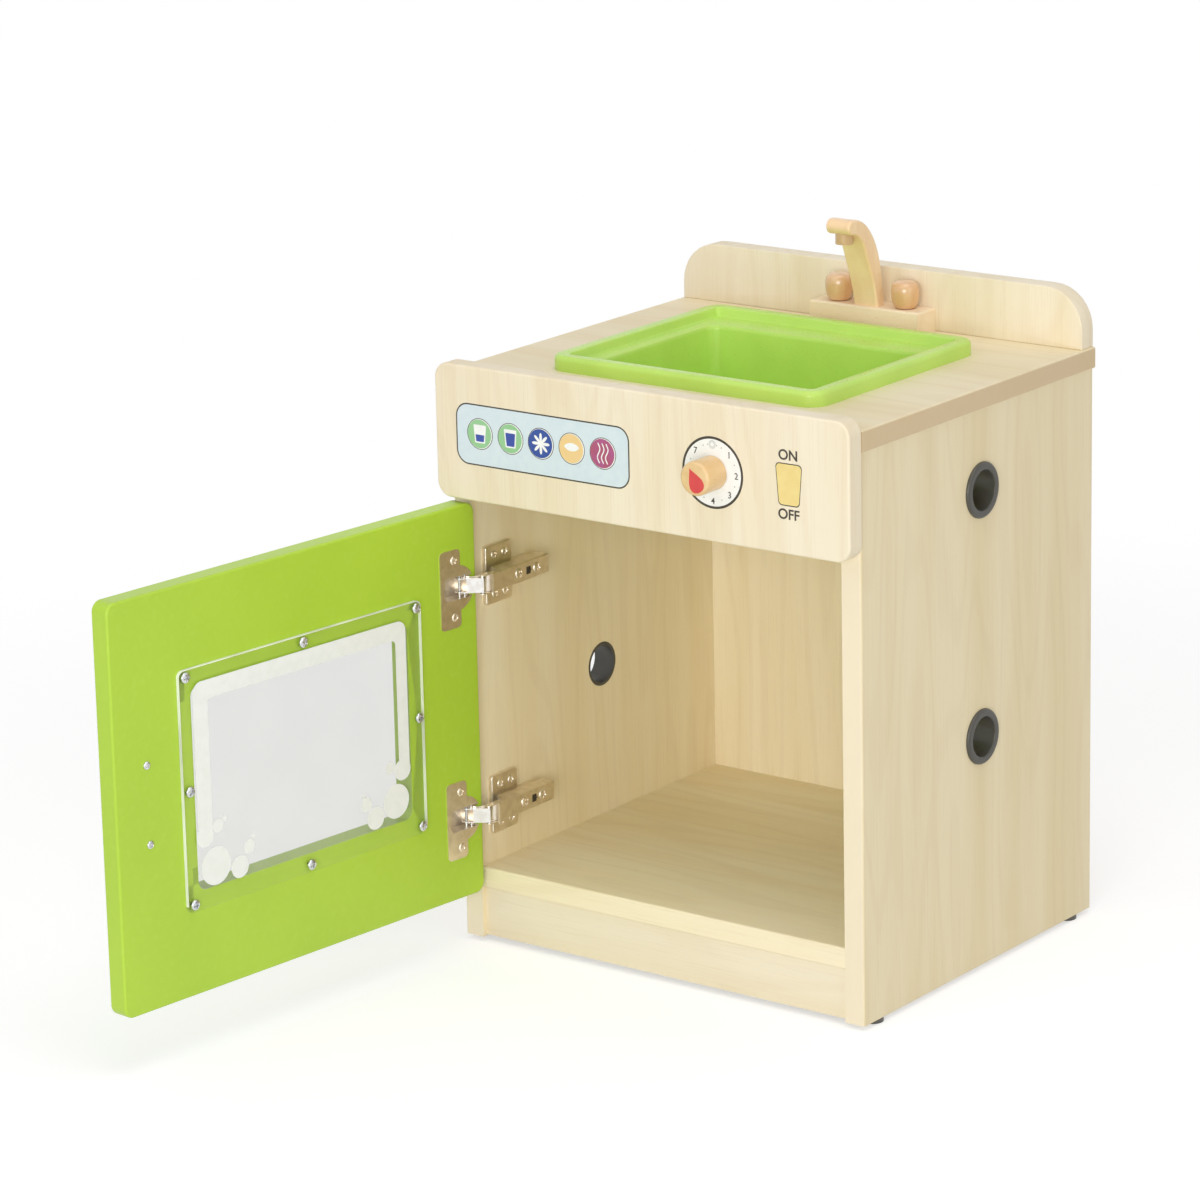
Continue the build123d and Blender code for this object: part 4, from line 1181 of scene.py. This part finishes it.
    def print_waves(self, number: int) -> None:
        """Print three upright lines that sway as a sine of their height.

        Args:
            number: which sign it is.
        """
        height = np.linspace(-self.wave_half_height, self.wave_half_height, 49)
        middle = np.array([self.sign_places[number - 1], self.sign_row])
        sway = self.wave_sway * np.sin(height * self.wave_pace)
        strips = []
        for side in (-1, 0, 1):
            path = middle + np.stack([side * self.wave_spacing + sway, height], axis=1)
            strips.append(self.face.ribbon(path, self.wave_width, PRINT_FOOT, PRINT_TOP))
        Skin.joined(strips).piece(f"sign_{number}_waves", self.white, "carcass")

    def print_dial(self) -> None:
        """Print the round dial: white ground, dark ring, numbers 1 to 7, dots and the start mark."""
        outer = circle(self.dial_middle, self.dial_radius, 128)
        inner = circle(self.dial_middle, self.dial_radius - self.dial_line, 128)
        self.print_shape("dial_ground", inner, self.white, PRINT_BASE)
        self.print_line("dial_ring", outer, inner, PRINT_LINE)
        middle = np.array(self.dial_middle)
        dots = []
        for step in range(self.dial_steps):
            angle = radians(90 - step * 360 / self.dial_steps)
            place = tuple(middle + self.number_radius * np.array([np.cos(angle), np.sin(angle)]))
            number, rest = divmod(step, 4)
            if number and not rest:
                name = f"dial_number_{number}"
                self.letter(name, str(number), place, self.number_height, self.number_stroke)
            elif rest == 2 or step in (1, self.dial_steps - 1):
                dots.append(self.face.film(circle(place, self.dot_radius, 20), PRINT_FOOT, PRINT_LAYER))
        Skin.joined(dots).piece("dial_dots", self.line, "carcass")
        start = middle + (0, self.number_radius)
        rays = []
        for turn in range(0, 360, 30):
            outline = rounded(start + self.ray(turn), self.ray_corner, 4)
            rays.append(self.face.film(outline, PRINT_FOOT, PRINT_LAYER))
        grey = ScreenInk("pale_grey_ink", "#DADBD8", "#CFD1CE")
        Skin.joined(rays).piece("dial_start_mark", grey, "carcass")

    def ray(self, turn: float) -> np.ndarray:
        """Corners of one short ray of the start mark.

        Args:
            turn: its direction, in degrees.
        Returns:
            Four corners round the mark's middle.
        """
        angle = radians(turn)
        heading = np.array([np.cos(angle), np.sin(angle)])
        side = np.array([-np.sin(angle), np.cos(angle)])
        start, end = (heading * reach for reach in self.ray_reach)
        narrow, wide = (side * half for half in self.ray_half_widths)
        return np.array([start - narrow, end - wide, end + wide, start + narrow])

    def letter(self, name: str, word: str, middle: tuple[float, float], height: float, stroke: float) -> None:
        """Print a dark word or number on the board.

        Args:
            name: the piece's name.
            word: what it says.
            middle: its centre.
            height: height of its letters.
            stroke: how much bolder than the plain letters, as a share of their size.
        """
        self.face.lettering(name, word, middle, height, self.line, "carcass", stroke)

    def print_switch(self) -> None:
        """Print the yellow switch with ON over it and OFF under it."""
        half = self.switch_height / 2
        corners = tapered(self.switch_half_foot, self.switch_half_top, -half, half)
        outer = rounded(corners + np.array(self.switch_middle), self.switch_corner)
        centre = outer.mean(axis=0)
        reach = np.linalg.norm(outer - centre, axis=1, keepdims=True)
        inner = centre + (outer - centre) * (1 - self.switch_line / reach)
        yellow = ScreenInk("switch_yellow_ink", "#F0D98F", "#EACF83")
        self.print_shape("switch_ground", inner, yellow, PRINT_BASE)
        self.print_line("switch_outline", outer, inner, PRINT_LINE)
        for word, middle in (("ON", self.on_middle), ("OFF", self.off_middle)):
            self.letter(f"switch_word_{word.lower()}", word, middle, self.word_height, self.word_stroke)

    def turn_knob(self) -> None:
        """Turn the timer's knob: a straight cylinder with a chamfered foot and a quarter-round rim."""
        low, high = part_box("timer_knob")
        turned = LacqueredWood(
            "turned_knob_end_grain", Grain.DEEP, (0.03, 0.02, 0.0), "#EBCB96", "#DFB67A", "#B8863F", 0.5
        )
        dress(turned, "timer_dowel")
        dress(DULL_ZINC, "timer_retainer")
        root = Sheet.facing_front((low.x + high.x) / 2, high.y, (low.z + high.z) / 2)
        turn = np.linspace(0, pi / 2, 9)
        rim, chamfer = self.knob_rim, self.knob_chamfer
        rim_radii = self.knob_radius - rim + rim * np.cos(turn)
        rim_heights = self.knob_length - rim + rim * np.sin(turn)
        radii = np.concatenate([[self.knob_radius - chamfer, self.knob_radius], rim_radii])
        heights = np.concatenate([[0.0, chamfer], rim_heights])
        knob = lathe(root, radii, heights).piece("turned_timer_knob", turned, "timer")
        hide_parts("timer_knob")
        self.print_drop(root)

    def print_drop(self, root: Sheet) -> None:
        """Print the red drop on the knob's end, leaning to one side.

        Its length is the cosine of the angle, and its width the sine times a power of the sine
        of half the angle.

        Args:
            root: the sheet that the knob stands on.
        """
        angle = np.linspace(0, 2 * pi, 96, endpoint=False)
        across = self.drop_width * np.sin(angle) * np.sin(angle / 2) ** self.drop_power
        down = self.drop_half_length * np.cos(angle)
        lean = radians(self.drop_lean)
        sideways = across * np.cos(lean) - down * np.sin(lean)
        upward = across * np.sin(lean) + down * np.cos(lean)
        outline = np.stack([sideways, upward], axis=1) + np.array(self.drop_middle)
        red = ScreenInk("red_drop_ink", "#DC4A4C", "#D23F44", 0.3)
        end = self.knob_length
        root.film(outline, end + PRINT_FOOT, end + PRINT_BASE).piece("knob_drop", red, "timer")


@dataclass
class Sink:
    """The lift-out basin: a broad rim that lies on the worktop, a ledge and a tapered bowl."""

    rim_low: tuple[float, float] = (-132.0, -131.0)
    rim_high: tuple[float, float] = (133.0, 103.0)
    rim_corner: float = 17.0
    bowl_low: tuple[float, float] = (-108.1, -114.6)
    bowl_high: tuple[float, float] = (117.1, 66.6)
    bowl_corner: float = 12.0
    least_corner: float = 2.5
    wall: float = 2.4
    depth: float = 82.0
    height: float = 12.5
    taper: float = 6.0

    def outline(self, low: tuple, high: tuple, inset: float, corner: float, level: float) -> np.ndarray:
        """Rounded rectangle drawn in by the inset, at one level.

        Args:
            low: its low corner.
            high: its high corner.
            inset: how far it is drawn in.
            corner: radius of the corners before that.
            level: its height in the part's frame.
        Returns:
            The outline in metres.
        """
        drawn = box_corners(tuple(np.array(low) + inset), tuple(np.array(high) - inset))
        flat = rounded(drawn, max(corner - inset, self.least_corner), 9)
        return np.concatenate([flat, np.full((len(flat), 1), level)], axis=1) * MM

    def mould(self) -> None:
        """Mould the basin: its section carried round, from under the floor, out and back in."""
        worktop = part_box("worktop")[1].z / MM
        top = worktop + self.height
        floor = top - self.depth
        wall, taper = self.wall, self.taper
        # Each pair is how far the outline is drawn in and its height
        under = [
            (taper + 9.0 - wall, floor),
            (taper + 5.0 - wall, floor + 0.5),
            (taper + 1.6 - wall, floor + 2.6),
            (taper - wall, floor + 7.0),
            (-wall, worktop + 0.1),
        ]
        channel = [
            (11.0, worktop + 2.0),
            (11.0, top - wall),
            (wall, top - wall),
            (wall, worktop),
            (0.0, worktop),
            (0.0, top - 4.0),
            (0.5, top - 2.0),
            (1.7, top - 0.6),
            (3.6, top),
            (10.6, top),
            (12.2, top - 0.5),
            (13.0, top - 1.8),
            (13.4, top - 6.9),
            (14.0, top - 7.8),
            (15.0, top - 8.1),
        ]
        inside = [
            (-0.9, worktop + wall + 0.3),
            (0.0, worktop + wall - 0.6),
            (0.3, worktop - 1.0),
            (taper - 0.6, floor + wall + 9.0),
            (taper + 0.6, floor + wall + 4.4),
            (taper + 3.6, floor + wall + 1.2),
            (taper + 8.0, floor + wall),
        ]
        bowl = (self.bowl_low, self.bowl_high, self.bowl_corner)
        rim = (self.rim_low, self.rim_high, self.rim_corner)
        rows = [
            self.outline(low, high, inset, corner, level)
            for profile, (low, high, corner) in ((under, bowl), (channel, rim), (inside, bowl))
            for inset, level in profile
        ]
        middle = (np.array(self.bowl_low) + np.array(self.bowl_high)) / 2
        start, end = (np.append(middle, level) * MM for level in (floor, floor + wall))
        finish = MouldedPlastic("green_basin_plastic", "#C4E76C", "#BADF62", 0.26, pebble=1.0, depth=0.1)
        basin = Skin.over(np.stack(rows), start, end).piece("moulded_basin", finish, "basin", crease=40.0)
        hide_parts("sink_basin")


@dataclass
class Tap:
    """Wooden tap: block, spout, nozzle and two turned knobs."""

    def dress(self) -> None:
        """Lacquer the planed pieces and the turned knobs, and leave the dowels raw."""
        block = LacqueredWood(
            "lacquered_tap_block", Grain.ACROSS, (0.03, 0.01, 0.02), "#FBE8CB", "#F4DCB8", "#D6AF84", 0.3
        )
        dress(block, "tap_block")
        spout = LacqueredWood(
            "lacquered_spout", Grain.UPRIGHT, (0.02, 0.04, 0.0), "#FDDDB2", "#F5CE9F", "#CDA068", 0.5
        )
        dress(spout, "tap_spout")
        nozzle = LacqueredWood("nozzle_end", Grain.UPRIGHT, (0.05, 0.02, 0.0), "#DDBB8C", "#CBA371")
        dress(nozzle, "spout_nozzle")
        knob = LacqueredWood(
            "turned_tap_knob", Grain.UPRIGHT, (0.04, 0.03, 0.1), "#E9C091", "#DCAA76", "#B7844C", 1.0
        )
        dress(knob, "left_tap_knob", "right_tap_knob")
        raw = LacqueredWood("raw_birch_axle", Grain.UPRIGHT, (0.1, 0, 0), gloss=0.0)
        dress(raw, "left_knob_dowel", "right_knob_dowel", "spout_dowel")


@dataclass
class Door:
    """The green door, its clear pane with the printed border, its screws and its pull."""

    angle: float = 96.0
    pivot_along: float = 10.67
    pivot_depth: float = 2.97
    middle: tuple[float, float] = (199.0, 215.0)
    opening: tuple[float, float] = (236.0, 166.0)
    pane: tuple[float, float] = (264.0, 197.0)
    pane_rise: float = 0.7
    pane_corner: float = 6.0
    pane_thickness: float = 2.5
    pane_ease: float = 0.4
    screw_inset: float = 6.2
    screw_shift: float = 1.0
    pull_along: float = 365.0
    pull_spacing: float = 64.0
    band_width: float = 15.0
    band_rise: float = 3.6
    band_shift: float = 4.2
    band_narrow: float = 11.8
    band_foot: float = 178.0
    band_corner: float = 9.0
    band_inner_corner: float = 4.0
    bubble_step: float = 0.004
    edge_glow: float = 0.8
    edge_proud: float = 0.05
    edge_foot: float = 0.1
    edge_rise: float = 0.02
    opening_corner: float = 8.0
    tint_gap: float = 0.2
    tint_span: tuple[float, float] = (-0.2, -0.05)

    def __post_init__(self) -> None:
        """Find the door's inner face from its rear pivot."""
        turn = radians(-self.angle)
        along = np.array([np.cos(turn), np.sin(turn), 0.0])
        into = np.array([np.sin(turn), -np.cos(turn), 0.0])
        swing = next(joint for joint in frame["joints"] if joint["name"] == "door_swing")
        pivot = np.array(swing["pos_m"][:2] + [0.0])
        origin = pivot - (along * self.pivot_along + into * self.pivot_depth) * MM
        self.face = Sheet(origin, along, np.array([0, 0, 1.0]), -into)

    def dress(self) -> None:
        """Lacquer the board and finish the pull."""
        dress(LacqueredBoard("green_lacquered_board"), "door_panel")
        turned = LacqueredWood(
            "turned_door_pull", Grain.UPRIGHT, (0.3, 0.2, 0.1), "#DDB47C", "#CF9D60", "#A97839", 0.8
        )
        dress(turned, "door_pull")

    def glaze(self) -> None:
        """Cut the pane: a plate whose edge is a rounded profile carried round its outline."""
        half = np.array(self.pane) / 2
        middle = np.array(self.middle) + (0, self.pane_rise)
        corners = box_corners(tuple(middle - half), tuple(middle + half))
        radii = np.full(4, self.pane_corner)
        body = self.face.plate(corners, radii, (0.0, self.pane_thickness), self.pane_ease)
        pane = body.piece("acrylic_pane", CastAcrylic("cast_acrylic"), "door", crease=50.0)
        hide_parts("door_window")
        # Painted highlight on the edge at the sides and the top; the foot, in shade, is left plain
        bright = CastAcrylic("painted_edge_highlight", "#FCFFF0", veil=0.92, grazing=0.97)
        (near, foot), (far, top) = middle - half - self.edge_proud, middle + half + self.edge_proud
        glow, corner = self.edge_glow, self.pane_corner
        outer = self.arch(near, far, top, foot + corner, corner)
        inner = self.arch(near + glow, far - glow, top - glow, foot + corner, corner - glow)
        rim = self.face.strip(outer, inner, self.edge_foot, self.pane_thickness + self.edge_rise)
        rim.piece("pane_edge_painted_highlight", bright, "door")
        # Painted shade: a grey film behind the pane over the opening alone darkens the view through it
        half = np.array(self.opening) / 2 - self.tint_gap
        window = box_corners(tuple(np.array(self.middle) - half), tuple(np.array(self.middle) + half))
        tint = self.face.film(rounded(window, self.opening_corner), *self.tint_span)
        shade_veil = CastAcrylic("painted_shade_film", "#9A9B98", veil=0.09, grazing=0.16)
        tint.piece("painted_shade_behind_pane", shade_veil, "door")

    def print_pane(self) -> None:
        """Print the pane's white border, open at the foot, and round bubbles in its low corners."""
        white = ScreenInk("white_pane_ink", "#F5F7F2", "#EEF1EA")
        half = np.array(self.opening) / 2
        near, far = self.middle[0] - half[0] + self.band_shift, self.middle[0] + half[0]
        top, foot = self.middle[1] + half[1] + self.band_rise, self.band_foot
        outer = self.arch(near, far, top, foot, self.band_corner)
        near, far, top = near + self.band_narrow, far - self.band_width, top - self.band_width
        inner = self.arch(near, far, top, foot, self.band_inner_corner)
        seat = self.pane_thickness
        band = self.face.strip(outer, inner, seat + PRINT_FOOT, seat + PRINT_BASE)
        band.piece("pane_border_print", white, "door")
        # Each bubble's distance from the hinges, height and radius
        bubbles = (
            (300.0, 149.5, 15.6),
            (274.9, 142.0, 9.2),
            (264.2, 156.2, 5.8),
            (260.2, 163.3, 2.0),
            (310.5, 176.0, 8.8),
            (296.4, 181.5, 5.6),
            (289.4, 186.0, 2.4),
            (93.6, 177.0, 9.0),
            (107.3, 181.6, 5.4),
            (101.8, 152.0, 14.4),
            (125.4, 143.8, 9.6),
            (135.4, 157.3, 6.0),
            (138.4, 165.0, 2.0),
        )
        for number, (across, up, radius) in enumerate(bubbles, 1):
            # Each spot's face is a little higher than the last, so that no two lie in one plane
            top = PRINT_LAYER + number * self.bubble_step
            spot = self.face.film(circle((across, up), radius, 64), seat + PRINT_FOOT, seat + top)
            spot.piece(f"pane_bubble_{number:02d}", white, "door")

    def arch(self, near: float, far: float, top: float, foot: float, corner: float) -> np.ndarray:
        """Line that goes up, round a corner, across, round a corner and down.

        Args:
            near: distance of its first leg from the hinges.
            far: distance of its last leg.
            top: height of its middle.
            foot: height of both ends.
            corner: radius of its corners.
        Returns:
            The line.
        """
        turn = np.linspace(0, pi / 2, 12)
        bend = corner * np.stack([1 - np.cos(turn), np.sin(turn) - 1], axis=1)
        first = np.array([near, top]) + bend
        last = np.array([far, top]) + (bend * (-1, 1))[::-1]
        return np.concatenate([[(near, foot)], first, last, [(far, foot)]])

    def screw(self) -> None:
        """Drive the pane's eight screws and the pull's two."""
        reach = np.array(self.pane) / 2 - self.screw_inset
        middle = np.array(self.middle) + (-self.screw_shift, self.pane_rise)
        places = [
            (middle[0] + across * reach[0], middle[1] + up * reach[1])
            for across in (-1, 0, 1)
            for up in (-1, 0, 1)
            if across or up
        ]
        broad = Screw(head_radius=4.4, head_height=2.1, length=11.0, cross_reach=2.9, cross_depth=1.3)
        broad.set_of("pane_screws", self.face, places, self.pane_thickness, ZINC, "door", "window_screws")
        pull = [(self.pull_along, self.middle[1] + side * self.pull_spacing / 2) for side in (-1, 1)]
        Screw(length=29.0).set_of("pull_fixing_screws", self.face, pull, 0.0, ZINC, "door", "pull_screws")


@dataclass
class Hinges:
    """The two concealed hinges: cups, plates, arms, links, pins and screws."""

    levels: tuple[float, float] = (313.5, 116.5)
    cup_screw_along: float = 26.0
    cup_screw_spacing: float = 48.0
    flange: float = 0.8
    plate_rise: float = 4.0
    plate_setbacks: tuple[float, float] = (23.0, 37.0)
    plate_screw_spacing: float = 33.0
    arm_face: float = 20.2
    arm_setbacks: tuple[float, float] = (35.0, 59.0)
    slot_setback: float = 47.8
    slot_size: tuple[float, float] = (5.6, 6.4)
    slot_corner: float = 0.6
    slot_depth: float = 0.2
    slot_proud: float = 0.05

    def dress(self) -> None:
        """Plate the pressed parts, links and pins."""
        for level in ("upper", "lower"):
            for part in ("hinge_cup", "mounting_plate", "hinge_arm", "rear_link"):
                dress(NICKEL, f"{level}_{part}")
            dress(BRIGHT_NICKEL, f"{level}_front_link")
        dress(ZINC, "arm_pivot_pins", "cup_pivot_pins")

    def screw(self, door: Door) -> None:
        """Drive the screws of cups, plates and arms.

        Args:
            door: the door, whose inner face the cups are let into.
        """
        cups = [
            (self.cup_screw_along, level + side * self.cup_screw_spacing / 2)
            for level in self.levels
            for side in (-1, 1)
        ]
        flat = Screw(head_radius=3.6, head_height=1.1, length=11.0, cross_reach=2.5, cross_depth=0.9)
        flat.set_of("cup_fixing_screws", door.face, cups, self.flange, NICKEL, "door", "cup_screws")
        low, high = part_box("left_side_panel")
        origin = np.array([high.x, low.y, 0.0])
        wall = Sheet(origin, np.array([0, 1.0, 0]), np.array([0, 0, 1.0]), np.array([1.0, 0, 0]))
        plates = [
            (setback, level + side * self.plate_screw_spacing / 2)
            for level in self.levels
            for side in (-1, 1)
            for setback in self.plate_setbacks
        ]
        long = replace(flat, length=14.0)
        long.set_of("plate_fixing_screws", wall, plates, self.plate_rise, NICKEL, "carcass", "plate_screws")
        arms = [(setback, level) for level in self.levels for setback in self.arm_setbacks]
        adjuster = Screw(4.4, 1.3, 2.0, 5.0, cross_reach=3.2, cross_depth=1.1)
        adjuster.set_of("arm_adjusting_screws", wall, arms, self.arm_face, NICKEL, "carcass", "arm_screws")
        # Painted shade: a dark film in each arm's slot stands in for the shade inside the hole
        half = np.array(self.slot_size) / 2
        slots = []
        for level in self.levels:
            middle = np.array([self.slot_setback, level])
            outline = rounded(box_corners(tuple(middle - half), tuple(middle + half)), self.slot_corner, 5)
            slots.append(wall.film(outline, self.arm_face - self.slot_depth, self.arm_face + self.slot_proud))
        dark = MouldedPlastic("painted_shade_in_slot", "#3A342B", "#2E2922", 0.4, 0.6)
        Skin.joined(slots).piece("arm_slot_painted_shade", dark, "carcass")


@dataclass
class Studio:
    """Pale floor, soft light and the camera where the photograph was taken from."""

    azimuth: float = 37.1648
    elevation: float = 14.9472
    roll: float = -1.2631
    stand: tuple[float, float, float] = (2.2020, -3.1430, 1.3614)
    focal_pixels: float = 4826.18
    axis_row: float = 540.0
    aim: tuple[float, float, float] = (0.0, 0.0, 0.25)
    floor_reach: float = 9.0
    floor_thickness: float = 0.02
    shadow_reach: float = 0.7

    def set_camera(self) -> None:
        """Place the camera: right, up and back from azimuth and elevation, then the roll."""
        around, rise, roll = radians(self.azimuth), radians(self.elevation), radians(self.roll)
        back = Vector((np.sin(around) * np.cos(rise), -np.cos(around) * np.cos(rise), np.sin(rise)))
        right = Vector((np.cos(around), np.sin(around), 0.0))
        up = back.cross(right)
        level = right * np.cos(roll) + up * np.sin(roll)
        upright = up * np.cos(roll) - right * np.sin(roll)
        camera = bpy.data.cameras.new("photograph_camera")
        camera.sensor_width = 36.0
        camera.lens = self.focal_pixels / IMAGE_SIDE * camera.sensor_width
        camera.shift_y = (self.axis_row - IMAGE_SIDE / 2) / IMAGE_SIDE
        camera.clip_end = 60.0
        seat = bpy.data.objects.new("photograph_camera", camera)
        columns = Matrix((level, upright, back)).transposed().to_4x4()
        seat.matrix_world = Matrix.Translation(self.stand) @ columns
        bpy.context.scene.collection.objects.link(seat)
        bpy.context.scene.camera = seat

    def lay_floor(self) -> None:
        """Lay the floor: rings over a flat disc, whose radius grows as a square from the middle out."""
        radii = np.linspace(0.2, 1, 12) ** 2 * self.floor_reach
        flat = radii[:, None, None] * circle((0, 0), 1.0, 64)
        rings = np.concatenate([flat, np.zeros((*flat.shape[:2], 1))], axis=-1)
        down = np.array([0, 0, -self.floor_thickness])
        skin = Skin.over(np.concatenate([rings, rings[::-1] + down]), np.zeros(3), down)
        mesh = bpy.data.meshes.new("studio_floor")
        mesh.from_pydata(skin.points.tolist(), [], skin.quads.tolist() + skin.triangles.tolist())
        floor = bpy.data.objects.new("studio_floor", mesh)
        bpy.context.scene.collection.objects.link(floor)
        mesh.materials.append(self.floor_paper())

    def seen_directly(self, tree: bpy.types.NodeTree) -> bpy.types.NodeSocket:
        """Say where a ray comes from the camera, a mirror or clear plastic.

        Args:
            tree: node tree of the floor or the world.
        Returns:
            1 for those rays and 0 for the rest.
        """
        path = add(tree, "LightPath").outputs
        seen = path["Is Camera Ray"]
        for kind in ("Is Glossy Ray", "Is Transmission Ray"):
            seen = add(tree, "Math", {0: seen, 1: path[kind]}, operation="MAXIMUM").outputs[0]
        return seen

    def floor_paper(self) -> bpy.types.Material:
        """White studio paper that still takes the object's shadow.

        Returns:
            The material: part glow and part matt white where it is seen, and matt white for light.
        """
        paper = bpy.data.materials.new("white_studio_paper")
        paper.use_nodes = True
        tree = paper.node_tree
        tree.nodes.clear()
        lit = add(tree, "BsdfDiffuse", values={"Color": linear("#E6E6E6")})
        seen = add(tree, "BsdfDiffuse", values={"Color": linear("#D2D2D2")})
        glow = add(tree, "Emission", values={"Color": (1, 1, 1, 1), "Strength": 0.5})
        both = add(tree, "AddShader", {0: seen.outputs[0], 1: glow.outputs[0]})
        white = add(tree, "Emission", values={"Color": (1, 1, 1, 1), "Strength": 1.0})
        place = add(tree, "TexCoord").outputs["Object"]
        far = add(tree, "VectorMath", {0: place}, operation="LENGTH").outputs["Value"]
        limits = {"From Min": self.shadow_reach, "From Max": self.shadow_reach * 2}
        fade = add(tree, "MapRange", {"Value": far}, limits, interpolation_type="SMOOTHSTEP")
        shown = add(tree, "MixShader", {0: fade.outputs[0], 1: both.outputs[0], 2: white.outputs[0]})
        rays = {0: self.seen_directly(tree), 1: lit.outputs[0], 2: shown.outputs[0]}
        chosen = add(tree, "MixShader", rays)
        add(tree, "OutputMaterial", {"Surface": chosen.outputs[0]})
        return paper

    def light(self) -> None:
        """Set a pale world, a key from the high left, a front lamp, a fill and an overhead lamp."""
        world = bpy.data.worlds.new("studio_world")
        world.use_nodes = True
        bpy.context.scene.world = world
        tree = world.node_tree
        tree.nodes.clear()
        shine = add(tree, "Background", values={"Color": (1, 1, 1, 1), "Strength": 0.5})
        white = add(tree, "Background", values={"Color": (1, 1, 1, 1), "Strength": 1.0})
        rays = {0: self.seen_directly(tree), 1: shine.outputs[0], 2: white.outputs[0]}
        chosen = add(tree, "MixShader", rays)
        add(tree, "OutputWorld", {"Surface": chosen.outputs[0]})
        # Each lamp's name, place in metres, side in metres and power in watts
        lamps = (
            ("key_softbox", (-1.0, -2.8, 2.7), 1.2, 8.0),
            ("front_softbox", (1.6, -3.3, 0.7), 1.8, 60.0),
            ("fill_softbox", (3.3, -0.8, 1.6), 1.8, 9.0),
            ("overhead_softbox", (0.6, -0.5, 3.4), 1.8, 24.0),
        )
        for name, place, side, power in lamps:
            lamp = bpy.data.lights.new(name, "AREA")
            lamp.size = side
            lamp.energy = power
            holder = bpy.data.objects.new(name, lamp)
            turn = (Vector(self.aim) - Vector(place)).to_track_quat("-Z", "Y").to_matrix()
            holder.matrix_world = Matrix.Translation(place) @ turn.to_4x4()
            bpy.context.scene.collection.objects.link(holder)
        bpy.context.scene.view_settings.view_transform = "Standard"


def main() -> None:
    """Build and dress the unit in order."""
    logging.basicConfig(level=logging.INFO, format="%(message)s")
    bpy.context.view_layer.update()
    studio = Studio()
    studio.set_camera()
    studio.lay_floor()
    studio.light()
    Carcass().dress()
    front = FrontBoard()
    front.print_label()
    front.print_signs()
    front.print_dial()
    front.print_switch()
    front.turn_knob()
    Sink().mould()
    Tap().dress()
    door = Door()
    door.dress()
    door.glaze()
    door.print_pane()
    door.screw()
    hinges = Hinges()
    hinges.dress()
    hinges.screw(door)


if __name__ == "__main__":
    main()
